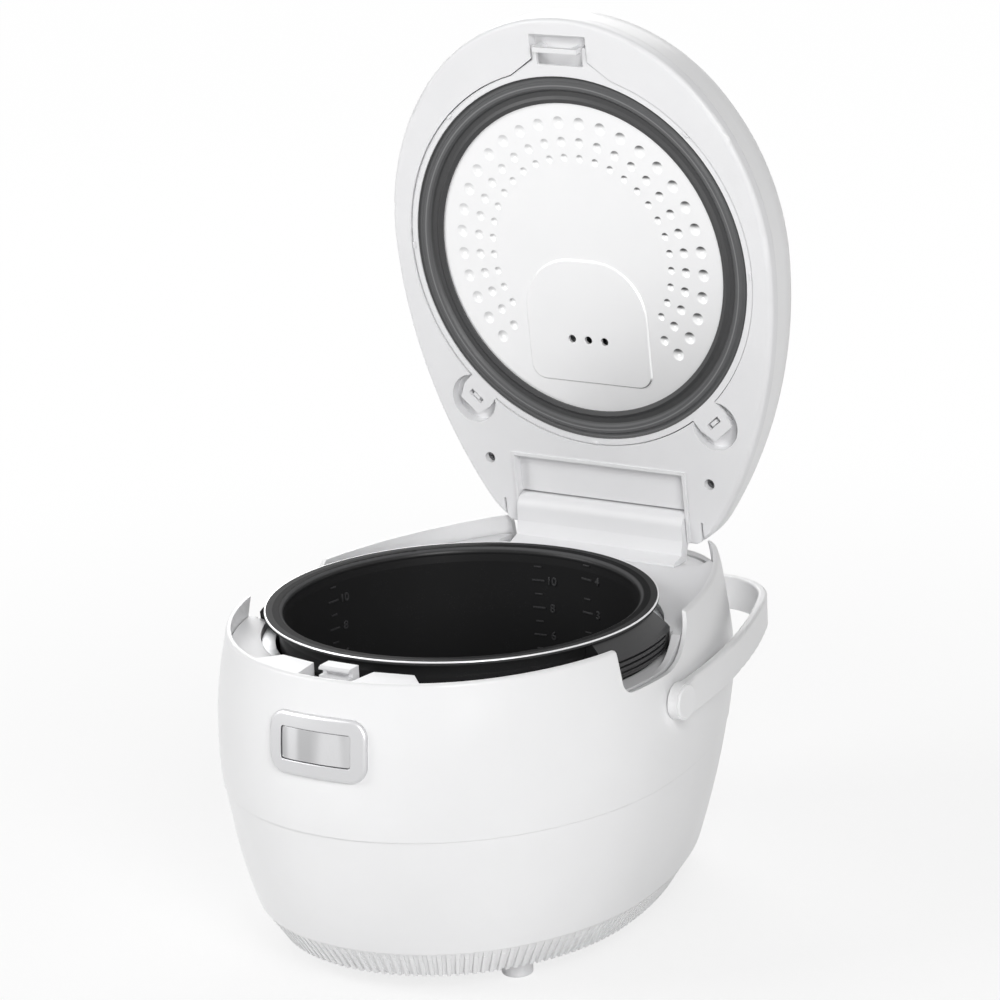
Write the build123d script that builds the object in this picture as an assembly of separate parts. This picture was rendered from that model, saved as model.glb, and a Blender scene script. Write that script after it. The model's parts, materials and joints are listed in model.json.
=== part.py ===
from build123d import *
import os
from math import asin, atan2, cos, degrees, pi, radians, sin, sqrt

# Rice cooker, all sizes in millimetres.
# Frame: +Z up, z = 0 on the floor under the feet, front towards -Y,
# origin under the middle of the whole object's box. It is built with its lid open.

# ---------------------------------------------------------------- driving dimensions

clearance = 0.15                 # between pieces that are pressed or screwed together
slide_gap = 0.4                  # round pieces that slide

# heights above the floor
foot_height = 12.0
band_top = 31.0
seam_height = 107.0              # lower shell meets upper shell
rim_height = 201.0               # top edge of the upper shell
pot_rim_height = 204.0
hinge_height = 208.0
lid_face_height = 203.0          # underside of the closed lid
lid_seam_height = 211.0          # lid frame meets lid cover
lid_top_height = 254.0

# plan of the body, an egg made of tangent arcs, blunt at the front
pot_y = -24.6                    # axis of the pot
hinge_y = pot_y + 175.0
nose_radius = 128.0
nose_back = 28.0                 # nose arc's centre lies this far in front of the pot's axis
nose_half_angle = 50.0
flank_radius = 164.0
side_radius = 317.0
rear_y = pot_y + 188.0
corner_radius = 45.0

# bulge of the body over that plan at each height, and how far the section leans forward
band_levels = [(12.0, -26.5, 3.6), (31.0, -14.2, 4.0)]
lower_levels = [(31.0, -13.6, 4.0), (54.0, -6.7, 4.2), (80.0, -0.6, 3.0), (107.0, 4.1, 2.15)]
upper_levels = [(107.0, 4.8, 2.0), (120.0, 6.4, 1.2), (134.0, 7.3, 0.0), (154.0, 6.5, 0.0),
                (178.0, 3.4, 0.0), (201.0, -1.2, 0.0)]
body_wall = 3.0
seam_lip = 4.0                   # tongue that the shells share at their seam
rim_round = 2.2

foot_radius = 9.5
rib_count = 164
rib_width = 2.6
rib_depth = 1.3
rib_length = 23.0
rib_fade = 5.0                   # degrees by which the grooves run out towards their top
rib_middle = 22.0                # height of the middle of the grooves
band_slope = 33.0                # degrees that the band leans in towards the floor

# pot
pot_rim_radius = 120.0
pot_rim_thickness = 2.6
pot_wall_radius = 110.5
pot_base_height = 62.0
pot_corner_radius = 36.0
pot_wall = 3.0
pot_handle_half_angle = 17.5
pot_handle_reach = 129.0
pot_handle_top = 200.4
pot_handle_low = 177.5
rivet_radius = 2.2

# notch in each side of the body for a pot handle, measured from the pot's axis
notch_front = -39.5
notch_rear = 44.0
notch_floor = 174.5
notch_corner = 7.0
notch_slope_start = 4.0
pocket_half = 41.0

# well and heater
well_radius = 114.0
well_sheet = 1.0
well_floor = 50.0
well_top = 184.0
deck_top = 188.0
deck_plate = 2.6
deck_opening = 122.6
heater_radius = 84.0
heater_thickness = 8.0
heater_hole = 17.0
element_radius = 2.7
sensor_radius = 14.0
sensor_height = 8.0
shield_low = 26.0
band_heater_low = 100.0
band_heater_height = 45.0

# front latch
button_height = 161.5
bezel_width = 67.0
bezel_height = 38.0
bezel_corner = 11.0
bezel_rim = 5.0
bezel_proud = 2.6                # its front before the wall
bezel_round = 2.3                # of its outer edge
button_width = 47.5
button_tall = 19.0
button_depth = 0.9               # face of the button behind the bezel's front
button_margin = 0.5              # gap all round the button
lever_pivot_height = 122.0
hook_width = 21.0
hook_y = pot_y - 128.5           # back face of the hook
hook_thickness = 5.0
hook_top = 202.8
hook_nose = 5.8                  # reach of the nose in front of the hook
hook_nose_height = 2.2
hook_rib = 1.5
hook_chin = 197.2                # top of the block below the slot that takes the catch
latch_spring_height = 160.0
tab_top = 200.2
tab_wall = 2.4

# hinge
barrel_radius = 8.5
shaft_radius = 3.0
running_gap = 0.05
housing_half = 61.0
housing_front = 10.5             # from the hinge line
housing_rear = 9.0
housing_top = 11.2               # above the hinge line
housing_round = 9.0
hinge_panel_end = 12.4           # lower edge of the lid's panel, from the hinge line
arm_inner = 61.6
arm_outer = 72.0
trough_half = 73.5
trough_radius = 24.8
lid_open_angle = 84.0

# lid
lid_wall = 2.6
lid_crown_radius = 1200.0
lid_edge_round = 27.0
recess_radius = 123.6
recess_ceiling = 215.0
recess_wall = 2.0
neck_root_half = 38.0
neck_half = 19.5
neck_root = 291.5                # distances from the hinge line along the lid
neck_shoulder = 304.0
neck_tip = 313.0
recess_tip = 320.5
seat_gap = 0.6
ring_radius = 123.0
gasket_radius = 119.0
gasket_top = 209.4
gasket_low = 204.2
plate_radius = 101.4
plate_face = 207.4
plate_sheet = 1.2
clip_x = 88.5
clip_reach = 74.0                # from the hinge line
clip_recess_radius = 16.0
ear_reach = 141.5                # tip of the ring's ears, from the middle of the pot
ear_slot_reach = 132.4
lid_screw_x = 80.9
lid_screw_reach = 34.0
steam_reach = 121.0
steam_hole_radius = 2.6
steam_hole_spacing = 11.8
vent_reach = 128.0
vent_radius = 15.0
cap_radius = 27.0
cap_height = 9.0
cap_sink = 3.0
neck_ceiling = 209.6
neck_window_half = 16.4
clip_floor = 210.0
catch_gap = 0.4                  # between the hook's ribs and the bar that its nose goes over
catch_thickness = 3.2
catch_drop = 0.2                 # top of the bar below the nose
catch_height = 2.2
catch_half = 15.8
catch_cheek = 0.7                # gap between the hook and the cheeks beside it
plate_emboss = 1.0
plate_panel_half = 44.0
plate_panel_low = 92.0           # from the hinge line
plate_panel_high = 174.0
dimple_pitch = 9.82              # degrees
dimple_depth = 0.8
dimple_center = 176.5            # from the hinge line
dimple_rings = [(64.5, 2.4, 26), (74.8, 3.1, 28), (87.2, 3.9, 28)]

# control panel on the lid
panel_reach = 258.0              # middle of the panel from the hinge line
panel_width = 118.0
panel_length = 66.0
panel_corner = 14.0
panel_sheet = 2.0
window_width = 52.0
window_length = 26.0
key_travel = 0.8
key_proud = 0.9
key_gap = 0.35
key_height = 4.5
panel_sink = 1.0                 # panel's face below the crown at its middle
window_v = 12.0
board_top = -7.4                 # circuit board below the panel plane
round_key_radius = 9.0
small_key_width = 15.0
small_key_length = 8.5

# carrying handle
handle_pivot_y = pot_y + 8.0
handle_pivot_z = 157.5
handle_gap = 1.95                # between the strap and the wall at its pivots
handle_strap = 5.5
handle_width = 22.0
handle_arm_radius = 530.0
handle_lean = 2.85               # degrees that the arms already lean in at the pivots
handle_corner = 46.0
handle_rear_y = pot_y + 208.5    # middle of the strap behind the body
handle_eye_radius = 11.3
handle_pin_radius = 6.0

# power inlet
inlet_x = 26.0
inlet_z = 58.0
inlet_width = 34.0
inlet_tall = 26.0
inlet_depth = 24.0


# ---------------------------------------------------------------- helpers

def at(center, radius, angle):
    """Point of a circle in the plan, angle in degrees from +X."""
    return (center[0] + radius * cos(radians(angle)), center[1] + radius * sin(radians(angle)))


def arc(center, radius, start, stop):
    middle = at(center, radius, (start + stop) / 2)
    return ThreePointArc(at(center, radius, start), middle, at(center, radius, stop))


def egg_centers():
    """Centres of the plan's nose arc, right flank arc and right side arc."""
    nose = (0.0, pot_y - nose_back)
    step = flank_radius - nose_radius
    flank = (-step * sin(radians(nose_half_angle)), nose[1] + step * cos(radians(nose_half_angle)))
    side = (flank[0] - (side_radius - flank_radius), flank[1])
    return nose, flank, side


def egg(bulge=0.0, lean=0.0, height=0.0):
    """Plan face of the body, grown by bulge, moved forward by lean, at a height."""
    nose, flank, side = egg_centers()
    corner_y = rear_y - corner_radius
    corner = (side[0] + sqrt((side_radius - corner_radius) ** 2 - (corner_y - side[1]) ** 2), corner_y)
    turn = degrees(asin((corner_y - side[1]) / (side_radius - corner_radius)))
    front = -90 + nose_half_angle
    right = [
        arc(flank, flank_radius + bulge, front, 0),
        arc(side, side_radius + bulge, 0, turn),
        arc(corner, corner_radius + bulge, turn, 90),
    ]
    left = [edge.mirror(Plane.YZ) for edge in right]
    nose_arc = arc(nose, nose_radius + bulge, -180 - front, front)
    back = Line(right[-1] @ 1, left[-1] @ 1)
    outline = make_face([nose_arc, *right, back, *left])
    return Pos(0, -lean, height) * outline


def body_loft(levels, inset=0.0, reach=0.0):
    """Solid through the plan sections at the given levels, inset all round, its ends moved out by reach."""
    sections = []
    for index, (height, bulge, lean) in enumerate(levels):
        ends = {0: -reach, len(levels) - 1: reach}
        sections.append(egg(bulge - inset, lean, height + ends.get(index, 0.0)))
    return loft(sections)


def level_at(height):
    """Bulge and lean of the body's outside at any height."""
    levels = band_levels[:-1] + lower_levels[:-1] + upper_levels
    for low, high in zip(levels, levels[1:]):
        if low[0] <= height <= high[0]:
            share = (height - low[0]) / (high[0] - low[0])
            return (low[1] + share * (high[1] - low[1]), low[2] + share * (high[2] - low[2]))
    return levels[-1][1:]


def plan_block(low, high, inset, fit_height=None):
    """Upright block inside the body's wall, shaped to the section at fit_height."""
    bulge, lean = level_at(low if fit_height is None else fit_height)
    return extrude(egg(bulge - inset, lean, low), high - low)


def block(x_low, x_high, y_low, y_high, z_low, z_high):
    return Pos((x_low + x_high) / 2, (y_low + y_high) / 2, (z_low + z_high) / 2) * Box(
        x_high - x_low, y_high - y_low, z_high - z_low
    )


def drum(x, y, z_low, z_high, radius):
    return Pos(x, y, (z_low + z_high) / 2) * Cylinder(radius, z_high - z_low)


def tube(x, y, z_low, z_high, outer, inner):
    return drum(x, y, z_low, z_high, outer) - drum(x, y, z_low - 1, z_high + 1, inner)


def cross_rod(x_low, x_high, y, z, radius):
    """Round rod along X."""
    return Pos((x_low + x_high) / 2, y, z) * Rot(0, 90, 0) * Cylinder(radius, x_high - x_low)


def side_profile(points, x_low, x_high):
    """Solid whose outline is drawn looking along X, as (y, z) points."""
    face = make_face(Polyline(*[(0, y, z) for y, z in points], close=True))
    return Pos(x_low, 0, 0) * extrude(face, x_high - x_low, dir=(1, 0, 0))


def both_sides(solid):
    return [solid, mirror(solid, Plane.YZ)]


def pair(solid):
    return Compound(children=[part_solid(one) for one in both_sides(solid)])


def part_solid(shape):
    return shape.solids()[0] if len(shape.solids()) == 1 else shape


def group(solids):
    return Compound(children=[part_solid(one) for one in solids])


def lid_y(reach):
    """Y of a point that lies a distance from the hinge line, on the closed lid."""
    return hinge_y - reach


def spring(x, y, z_low, z_high, radius, wire, turns, axis="Z"):
    """Coil spring standing on z_low, or lying along X or Y from the given point."""
    length = z_high - z_low - wire
    path = Helix(pitch=length / turns, height=length, radius=radius)
    section = Plane(origin=path @ 0, z_dir=path % 0) * Circle(wire / 2)
    coil = Pos(0, 0, wire / 2) * sweep(section, path=path, is_frenet=True)
    turned = {"Z": coil, "X": Rot(0, 90, 0) * coil, "Y": Rot(-90, 0, 0) * coil}[axis]
    return Pos(x, y, z_low if axis == "Z" else 0) * turned


# ---------------------------------------------------------------- outer casing

def notch_cutter(margin=0.0):
    """Space for the pot's handles, right through both side walls."""
    front = pot_y + notch_front - margin
    rear = pot_y + notch_rear + margin
    floor = notch_floor - margin
    top = rim_height + 6
    slope = pot_y + notch_slope_start
    round_in = notch_corner + margin
    outline = make_face([
        Line((0, front, top), (0, front, floor + round_in)),
        ThreePointArc(
            (0, front, floor + round_in),
            (0, front + round_in * (1 - cos(pi / 4)), floor + round_in * (1 - sin(pi / 4))),
            (0, front + round_in, floor),
        ),
        Line((0, front + round_in, floor), (0, slope, floor)),
        ThreePointArc((0, slope, floor), (0, (slope + rear) / 2 + 6, floor + 8.5), (0, rear, rim_height)),
        Line((0, rear, rim_height), (0, rear, top)),
        Line((0, rear, top), (0, front, top)),
    ])
    return Pos(-200, 0, 0) * extrude(outline, 400, dir=(1, 0, 0))


def hinge_clearing():
    """Round room behind the hinge, where the lid's rear edge goes down as it opens."""
    return cross_rod(-trough_half, trough_half, hinge_y, hinge_height, trough_radius)


def front_y(height):
    """Y of the body's outside at the middle of the front."""
    bulge, lean = level_at(height)
    return pot_y - nose_back - nose_radius - bulge - lean


def side_half(y, height):
    """Half width of the body where its side arc runs."""
    bulge, lean = level_at(height)
    side = egg_centers()[2]
    return side[0] + sqrt((side_radius + bulge) ** 2 - (y + lean - side[1]) ** 2)


def bezel_place():
    """Middle of the bezel on the front wall, leaning as the wall does."""
    rise = front_y(button_height + bezel_height / 2) - front_y(button_height - bezel_height / 2)
    return Pos(0, front_y(button_height), button_height) * Rot(-degrees(atan2(rise, bezel_height)), 0, 0)


def bezel_outline(width, height, corner, depth):
    return Plane.XZ.offset(-depth) * RectangleRounded(width, height, corner)


def bezel_plate(width, height, corner, depth_from, depth_to):
    """Rounded plate in the front wall, between two depths behind the wall's foremost line."""
    face = bezel_outline(width, height, corner, depth_from)
    return bezel_place() * extrude(face, depth_to - depth_from, dir=(0, 1, 0))


def upper_shell():
    shell = body_loft(upper_levels)
    top_edge = shell.faces().sort_by(Axis.Z)[-1].edges()
    shell = fillet(top_edge, rim_round)
    shell -= body_loft(upper_levels, body_wall, 0.5)
    shell -= notch_cutter()
    shell -= hinge_clearing()
    shell -= bezel_plate(
        bezel_width - 2 * bezel_rim, bezel_height - 2 * bezel_rim, bezel_corner - bezel_rim, -10, 25)
    for pin in both_sides(handle_pin_hole()):
        shell -= pin
    return shell


def handle_pin_hole():
    wall = side_half(handle_pivot_y, handle_pivot_z)
    return cross_rod(wall - 20, wall + 20, handle_pivot_y, handle_pivot_z, handle_pin_radius)


def lower_shell():
    shell = body_loft(lower_levels) - body_loft(lower_levels, body_wall, 0.5)
    tongue = [(seam_height - 6.0, 3.6, 2.2), (seam_height + seam_lip, 5.0, 1.9)]
    shell += body_loft(tongue, body_wall) - body_loft(tongue, 2 * body_wall - 0.6, 0.5)
    shell -= inlet_opening()
    return shell


def inlet_opening():
    return block(
        inlet_x - inlet_width / 2, inlet_x + inlet_width / 2, rear_y - 60, rear_y + 20,
        inlet_z - inlet_tall / 2, inlet_z + inlet_tall / 2,
    )


def rib_places():
    """Middle of each groove around the band, with the plan's outward direction there."""
    bulge, lean = level_at(rib_middle)
    outline = egg(bulge, lean, rib_middle).wire()
    for index in range(rib_count):
        share = (index + 0.5) / rib_count
        point, along = outline @ share, outline % share
        yield point, degrees(atan2(along.Y, along.X))


def ribbed_band():
    band = body_loft(band_levels) - body_loft(band_levels, body_wall + rib_depth, 0.5)
    tongue = [(band_top - 5.0, -14.0, 4.0), (band_top + seam_lip, -13.6, 4.0)]
    band += body_loft(tongue, body_wall + 0.1) - body_loft(tongue, 2 * body_wall, 0.5)
    pitch = egg(level_at(rib_middle)[0]).wire().length / rib_count
    grooves = []
    for point, angle in rib_places():
        groove = Pos(0, 0, -rib_length / 2 + 9) * Box(pitch - rib_width, 2 * rib_depth, rib_length)
        place = Pos(point.X, point.Y, rib_middle) * Rot(0, 0, angle)
        grooves.append(place * Rot(band_slope + rib_fade, 0, 0) * groove)
    return band - grooves


def floor_panel():
    """Bottom cover inside the band, with bosses for the feet and slots for air."""
    panel = plan_block(foot_height, foot_height + 2.5, body_wall + rib_depth + 0.4)
    for x, y in foot_places():
        panel += drum(x, y, foot_height, foot_height + 8, foot_radius + 2)
        panel -= drum(x, y, foot_height - 1, foot_height + 4, foot_radius - 2)
        panel -= drum(x, y, foot_height, foot_height + 10, 2.0)
    for index in range(-4, 5):
        slot = block(index * 9 - 2, index * 9 + 2, pot_y - 28, pot_y + 28, foot_height - 1, foot_height + 4)
        panel -= slot
    return panel


def foot_places():
    return [(x, y) for x in (-73, 73) for y in (pot_y - 70, pot_y + 96)]


def feet():
    solids = []
    for x, y in foot_places():
        foot = drum(x, y, 0, foot_height, foot_radius)
        foot = fillet(foot.faces().sort_by(Axis.Z)[0].edges(), 1.5)
        foot += drum(x, y, foot_height, foot_height + 3.9, foot_radius - 2.15)
        foot -= drum(x, y, -1, 6, 4.5)
        foot -= drum(x, y, 0, 20, 2.0)
        solids.append(foot)
    return group(solids)


def foot_screws():
    solids = []
    for x, y in foot_places():
        screw = drum(x, y, 3.2, 6.0, 3.8) + drum(x, y, 6.0, foot_height + 7, 1.9)
        screw -= Pos(x, y, 3.6) * Box(4.5, 1.0, 1.6) + Pos(x, y, 3.6) * Box(1.0, 4.5, 1.6)
        solids.append(screw)
    return group(solids)


# ---------------------------------------------------------------- deck, well and heater

def grip_pocket(margin=0.0):
    """Room around both handles of the pot."""
    reach = pot_handle_reach + 1.5 + margin
    half = pocket_half + margin
    return drum(0, pot_y, notch_floor - margin, rim_height + 6, reach) & (
        block(-reach, -100, pot_y - half, pot_y + half, notch_floor - margin, rim_height + 6)
        + block(100, reach, pot_y - half, pot_y + half, notch_floor - margin, rim_height + 6)
    )


def deck():
    """White deck around the pot, with a pocket for each pot handle and the hinge trough."""
    slab = plan_block(notch_floor - 2.6, deck_top, body_wall + 0.5, deck_top)
    hollow = plan_block(notch_floor - 3.6, deck_top - deck_plate, body_wall + 3.0, deck_top)
    hollow -= drum(0, pot_y, 150, 220, deck_opening + 2.4)
    hollow -= notch_cutter(2.4)
    hollow -= grip_pocket(2.4)
    solid = slab - drum(0, pot_y, 150, 220, deck_opening)
    solid -= hollow
    solid -= notch_cutter()
    solid -= grip_pocket()
    solid -= block(-bezel_width / 2, bezel_width / 2, pot_y - 190, hook_y - 9, 150, deck_top - deck_plate)
    trough = cross_rod(-trough_half + 0.3, trough_half - 0.3, hinge_y, hinge_height, trough_radius + 2.4)
    trough &= plan_block(deck_top - 6, deck_top + 20, body_wall + 0.5, rim_height)
    solid += trough & block(-200, 200, hinge_y - 30, hinge_y + 60, 150, deck_top)
    solid -= hinge_clearing()
    solid -= latch_opening()
    for tab in both_sides(front_tab()):
        solid += tab
    for room in both_sides(front_tab_hollow()):
        solid -= room
    return solid


def latch_opening():
    """Slot in the deck that the latch hook stands in."""
    half = hook_width / 2 + 1.5
    return block(-half, half, hook_y - hook_thickness - 7.0, hook_y + 8.0, 150, 220)


def front_tab():
    """Hollow flat-topped pad on the deck beside the hook, on the right."""
    outline = make_face(Polyline(
        (21, pot_y - 128.8), (46, pot_y - 124.0), (60, pot_y - 139.0), (58, pot_y - 147.0),
        (18, pot_y - 152.0), close=True,
    ))
    solid = prism(outline, deck_top - 0.5, tab_top)
    solid &= plan_block(deck_top - 1, tab_top + 1, body_wall + 0.4, rim_height)
    return solid


def front_tab_hollow():
    """Room inside the pad, open downwards."""
    outline = make_face(Polyline(
        (24, pot_y - 131.0), (45, pot_y - 127.0), (55, pot_y - 138.5), (52, pot_y - 142.0),
        (21, pot_y - 148.5), close=True,
    ))
    return prism(outline, deck_top - deck_plate - 1, tab_top - tab_wall)


def hinge_housing():
    """Upright block across the deck that carries the hinge shaft, with a small apron in front."""
    y, z = hinge_y, hinge_height
    foot = deck_top + 0.1
    apron = y - trough_radius + 3.0
    front = y - housing_front
    points = [
        (apron, foot), (apron, foot + 1.5), (front - 1.6, foot + 5.0), (front, z - 6.0),
        (front, z + housing_top), (y + housing_rear, z + housing_top), (y + housing_rear, z - 1.0),
        (y + 6.0, z - 6.0), (y - 2.3, z - 8.2), (y - 6.4, foot),
    ]
    outline = make_face(Polyline(*[(0, one, two) for one, two in points], close=True))
    tops = outline.vertices().group_by(Axis.Z)[-1].sort_by(Axis.Y)
    outline = fillet(tops[0], housing_round)
    outline = fillet(outline.vertices().sort_by(Axis.Z)[-1], housing_rear - 4.0)
    body = Pos(-housing_half, 0, 0) * extrude(outline, 2 * housing_half, dir=(1, 0, 0))
    body &= prism(egg(-lid_wall - 1.2), deck_top, z + housing_top + 1)
    body -= cross_rod(-housing_half - 1, housing_half + 1, y, z, shaft_radius)
    for pocket in both_sides(cross_rod(34, 52, y, z, 6.0)):
        body -= pocket
    return body


def hinge_shaft():
    return cross_rod(-arm_outer - 1.0, arm_outer + 1.0, hinge_y, hinge_height, shaft_radius)


def hinge_springs():
    solids = []
    for start in (34.4, -51.6):
        coil = spring(start, hinge_y, 0, 17.2, 4.4, 1.6, 7, "X")
        solids.append(Pos(0, 0, hinge_height) * coil)
    return group(solids)


def pot_well():
    """Steel can around the pot, with a flange under the deck and a floor for the heater."""
    outer = well_radius + well_sheet
    can = tube(0, pot_y, well_floor, well_top, outer, well_radius)
    can += tube(0, pot_y, well_floor, well_floor + well_sheet, outer, heater_hole + 4)
    can += tube(0, pot_y, well_top - well_sheet, well_top, deck_opening - 0.3, well_radius)
    return can - grip_pocket(0.3)


def well_supports():
    """Posts that carry the well on the floor panel."""
    posts = []
    for angle in (30, 150, 270):
        x, y = 92 * cos(radians(angle)), pot_y + 92 * sin(radians(angle))
        post = drum(x, y, foot_height + 2.5, well_floor, 7.0)
        posts.append(post - drum(x, y, foot_height + 6, well_floor + 1, 2.5))
    return group(posts)


def heating_plate():
    low = pot_base_height - heater_thickness - 0.1
    plate = drum(0, pot_y, low, low + heater_thickness, heater_radius)
    edges = plate.faces().sort_by(Axis.Z)[-1].edges()
    plate = chamfer(edges, 4.0)
    plate -= drum(0, pot_y, low - 1, low + 10, heater_hole)
    for angle in (60, 180, 300):
        x, y = 70 * cos(radians(angle)), pot_y + 70 * sin(radians(angle))
        plate += drum(x, y, well_floor + well_sheet, low + 1, 6)
    return plate


def heating_element():
    """Tubular element cast against the underside of the plate, with its two ends turned down."""
    low = pot_base_height - heater_thickness - 0.1
    ring_path = Pos(0, pot_y, low) * CenterArc((0, 0), 54, 100, 340)
    section = Plane(origin=ring_path @ 0, z_dir=ring_path % 0) * Circle(element_radius)
    element = sweep(section, path=ring_path)
    element = element - block(-200, 200, -300, 300, low, low + 20)
    return element


def sensor_cap():
    top = pot_base_height - 0.1
    cap = drum(0, pot_y, top - sensor_height, top, sensor_radius)
    cap = fillet(cap.faces().sort_by(Axis.Z)[-1].edges(), 1.5)
    cap -= drum(0, pot_y, top - sensor_height - 1, top - 2, sensor_radius - 1.2)
    cap += drum(0, pot_y, well_floor - 6.5, top - 1, 2.5)
    return cap


def sensor_bracket():
    """Strap under the well that holds the sensor's guide and the foot of its spring."""
    top = well_floor
    strap = block(-36, 36, pot_y - 7, pot_y + 7, top - 11.5, top - 10)
    for side in (-1, 1):
        strap += block(side * 36 - 1, side * 36 + 1, pot_y - 7, pot_y + 7, top - 11.5, top)
        x_low, x_high = sorted((side * 36, side * 46))
        strap += block(x_low, x_high, pot_y - 7, pot_y + 7, top - 1.5, top)
    strap += tube(0, pot_y, top - 10, top - 4, 4.4, 2.8)
    strap -= drum(0, pot_y, top - 14, top, 2.8)
    return strap


def sensor_spring():
    return spring(0, pot_y, well_floor - 10, pot_base_height - 2.1, 6.6, 1.2, 6)


def band_heater():
    return tube(
        0, pot_y, band_heater_low, band_heater_low + band_heater_height,
        well_radius + well_sheet + 1.6, well_radius + well_sheet + 0.05,
    )


def heat_shield():
    """Sheet ring under the well that keeps its heat from the lower shell and the board."""
    radius = well_radius - 14
    return tube(0, pot_y, shield_low, well_floor - 0.05, radius + 0.8, radius)


# ---------------------------------------------------------------- electrics

def power_board():
    z = foot_height + 7.5
    board = block(-58, 40, pot_y + 104, pot_y + 152, z, z + 1.6)
    board += block(-50, -28, pot_y + 112, pot_y + 132, z + 1.6, z + 16)
    board += drum(-12, pot_y + 122, z + 1.6, z + 18, 7)
    board += drum(6, pot_y + 122, z + 1.6, z + 14, 5)
    board += block(16, 34, pot_y + 110, pot_y + 130, z + 1.6, z + 12)
    return board


def board_posts():
    z = foot_height + 2.5
    places = [(x, y) for x in (-54, 36) for y in (pot_y + 107, pot_y + 149)]
    return group([drum(x, y, z, z + 5.0, 3.0) for x, y in places])


def inlet_socket():
    """Moulded power socket set into the back wall near its corner."""
    face_y = inlet_face_y()
    x, z = inlet_x, inlet_z
    w, t = inlet_width / 2, inlet_tall / 2
    socket = block(x - w + 0.2, x + w - 0.2, face_y - inlet_depth, face_y, z - t + 0.2, z + t - 0.2)
    socket += block(x - w - 3, x + w + 3, face_y - 14, face_y - 11, z - t - 3, z + t + 3)
    socket -= block(x - w + 4, x + w - 4, face_y - inlet_depth + 5, face_y + 1, z - t + 4, z + t - 4)
    for pin_x in (-7, 7):
        socket -= cross_pin(x + pin_x, face_y - inlet_depth - 1, face_y - inlet_depth + 6, 1.9)
    return socket


def inlet_face_y():
    bulge, lean = level_at(inlet_z)
    return rear_y + bulge - lean - 5.5


def cross_pin(x, y_low, y_high, radius):
    return Pos(x, (y_low + y_high) / 2, inlet_z) * Rot(90, 0, 0) * Cylinder(radius, y_high - y_low)


def inlet_pins():
    face_y = inlet_face_y()
    return group([
        cross_pin(inlet_x + x, face_y - inlet_depth - 8, face_y - 6, 1.9) for x in (-7, 7)
    ])


# ---------------------------------------------------------------- front latch

def button_bezel():
    """Round-edged frame that follows the wall around the button, with a sleeve through the wall."""
    bezel = bezel_plate(bezel_width, bezel_height, bezel_corner, -10, 10)
    bezel &= body_loft(upper_levels, -bezel_proud, 0.5)
    bezel = part_solid(bezel)
    middle = front_y(button_height)
    rim = [edge for edge in bezel.edges() if edge.bounding_box().max.Y < middle + 7]
    bezel = fillet(rim, bezel_round)
    bezel -= body_loft(upper_levels, -0.05, 0.5)
    across = bezel_width - 2 * bezel_rim - 0.4
    tall = bezel_height - 2 * bezel_rim - 0.4
    bezel += bezel_plate(across, tall, bezel_corner - bezel_rim, 0.5, 14)
    window = bezel_plate(button_width + 2 * button_margin, button_tall + 2 * button_margin, 2.0, -20, 40)
    return bezel - window


def release_button():
    face = button_depth - bezel_proud
    button = bezel_plate(button_width, button_tall, 1.6, -10, face + 11)
    button &= body_loft(upper_levels, face, 0.5)
    button -= bezel_plate(button_width - 4, button_tall - 4, 1.2, face + 2, face + 12)
    start = front_y(button_height) + face + 1
    return button + block(-8, 8, start, lever_front_y() - 0.2, button_height - 5, button_height + 5)


def lever_front_y():
    return hook_y - hook_thickness - 1.0


def lever_pivot():
    return (hook_y - hook_thickness / 2 + 4.0, lever_pivot_height)


def latch_lever():
    """Upright lever: its foot turns on a pin, the button pushes its middle, its nose holds the lid."""
    y, z = lever_pivot()
    half = hook_width / 2
    front = hook_y - hook_thickness
    stem = block(-half, half, front, hook_y, z + 8, hook_top)
    nose = side_profile([
        (front - hook_nose, hook_top - hook_nose_height), (front - hook_nose, hook_top - 1.0),
        (front - hook_nose + 1.6, hook_top), (front + 1, hook_top), (front + 1, hook_top - hook_nose_height),
    ], -half, half)
    for side in (-1, 1):
        x_low, x_high = sorted((side * half, side * (half - 3)))
        stem += block(x_low, x_high, front - hook_rib, front + 1, deck_top + 2, hook_top - 0.5)
    chin = block(-half, half, front - hook_nose, front + 1, deck_top + 2, hook_chin)
    tip = front - hook_nose
    chin -= block(-half + 3, half - 3, tip - 1, tip + 1, deck_top + 1, hook_chin - 1.5)
    pad = block(-10, 10, lever_front_y(), hook_y - 1, button_height - 6, button_height + 6)
    foot = block(-half, half, hook_y - hook_thickness, y + 4, z - 4, z + 9)
    lever = stem + nose + chin + pad + foot + cross_rod(-half, half, y, z, 5.5)
    return lever - cross_rod(-half - 1, half + 1, y, z, 2.0 + running_gap)


def latch_pin():
    y, z = lever_pivot()
    return cross_rod(-19.5, 19.5, y, z, 2.0)


def latch_bracket():
    """Cheeks that carry the lever's pin, hung on the inside of the front wall."""
    y, z = lever_pivot()
    plates = None
    for side in (-1, 1):
        x_low, x_high = sorted((side * 13.5, side * 18))
        cheek = block(x_low, x_high, pot_y - 170, y + 7, z - 8, z + 8)
        plates = cheek if plates is None else plates + cheek
    plates += block(-18, 18, pot_y - 170, pot_y - 150, z - 12, z - 8)
    plates &= plan_block(z - 14, z + 10, body_wall + 2.9, z - 8)
    plates -= cross_rod(-30, 30, y, z, 2.0)
    plates -= drum(0, pot_y, z - 30, z + 30, well_radius + well_sheet + 4)
    return plates


def latch_spring():
    """Spring between the lever and the well, which pushes the hook back to the front."""
    z = latch_spring_height
    gap = -(hook_y + 0.1) + pot_y - well_radius - well_sheet - 0.1
    coil = spring(0, hook_y + 0.1, 0, gap, 3.2, 0.9, 5, "Y")
    return Pos(0, 0, z) * coil


# ---------------------------------------------------------------- pot

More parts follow.
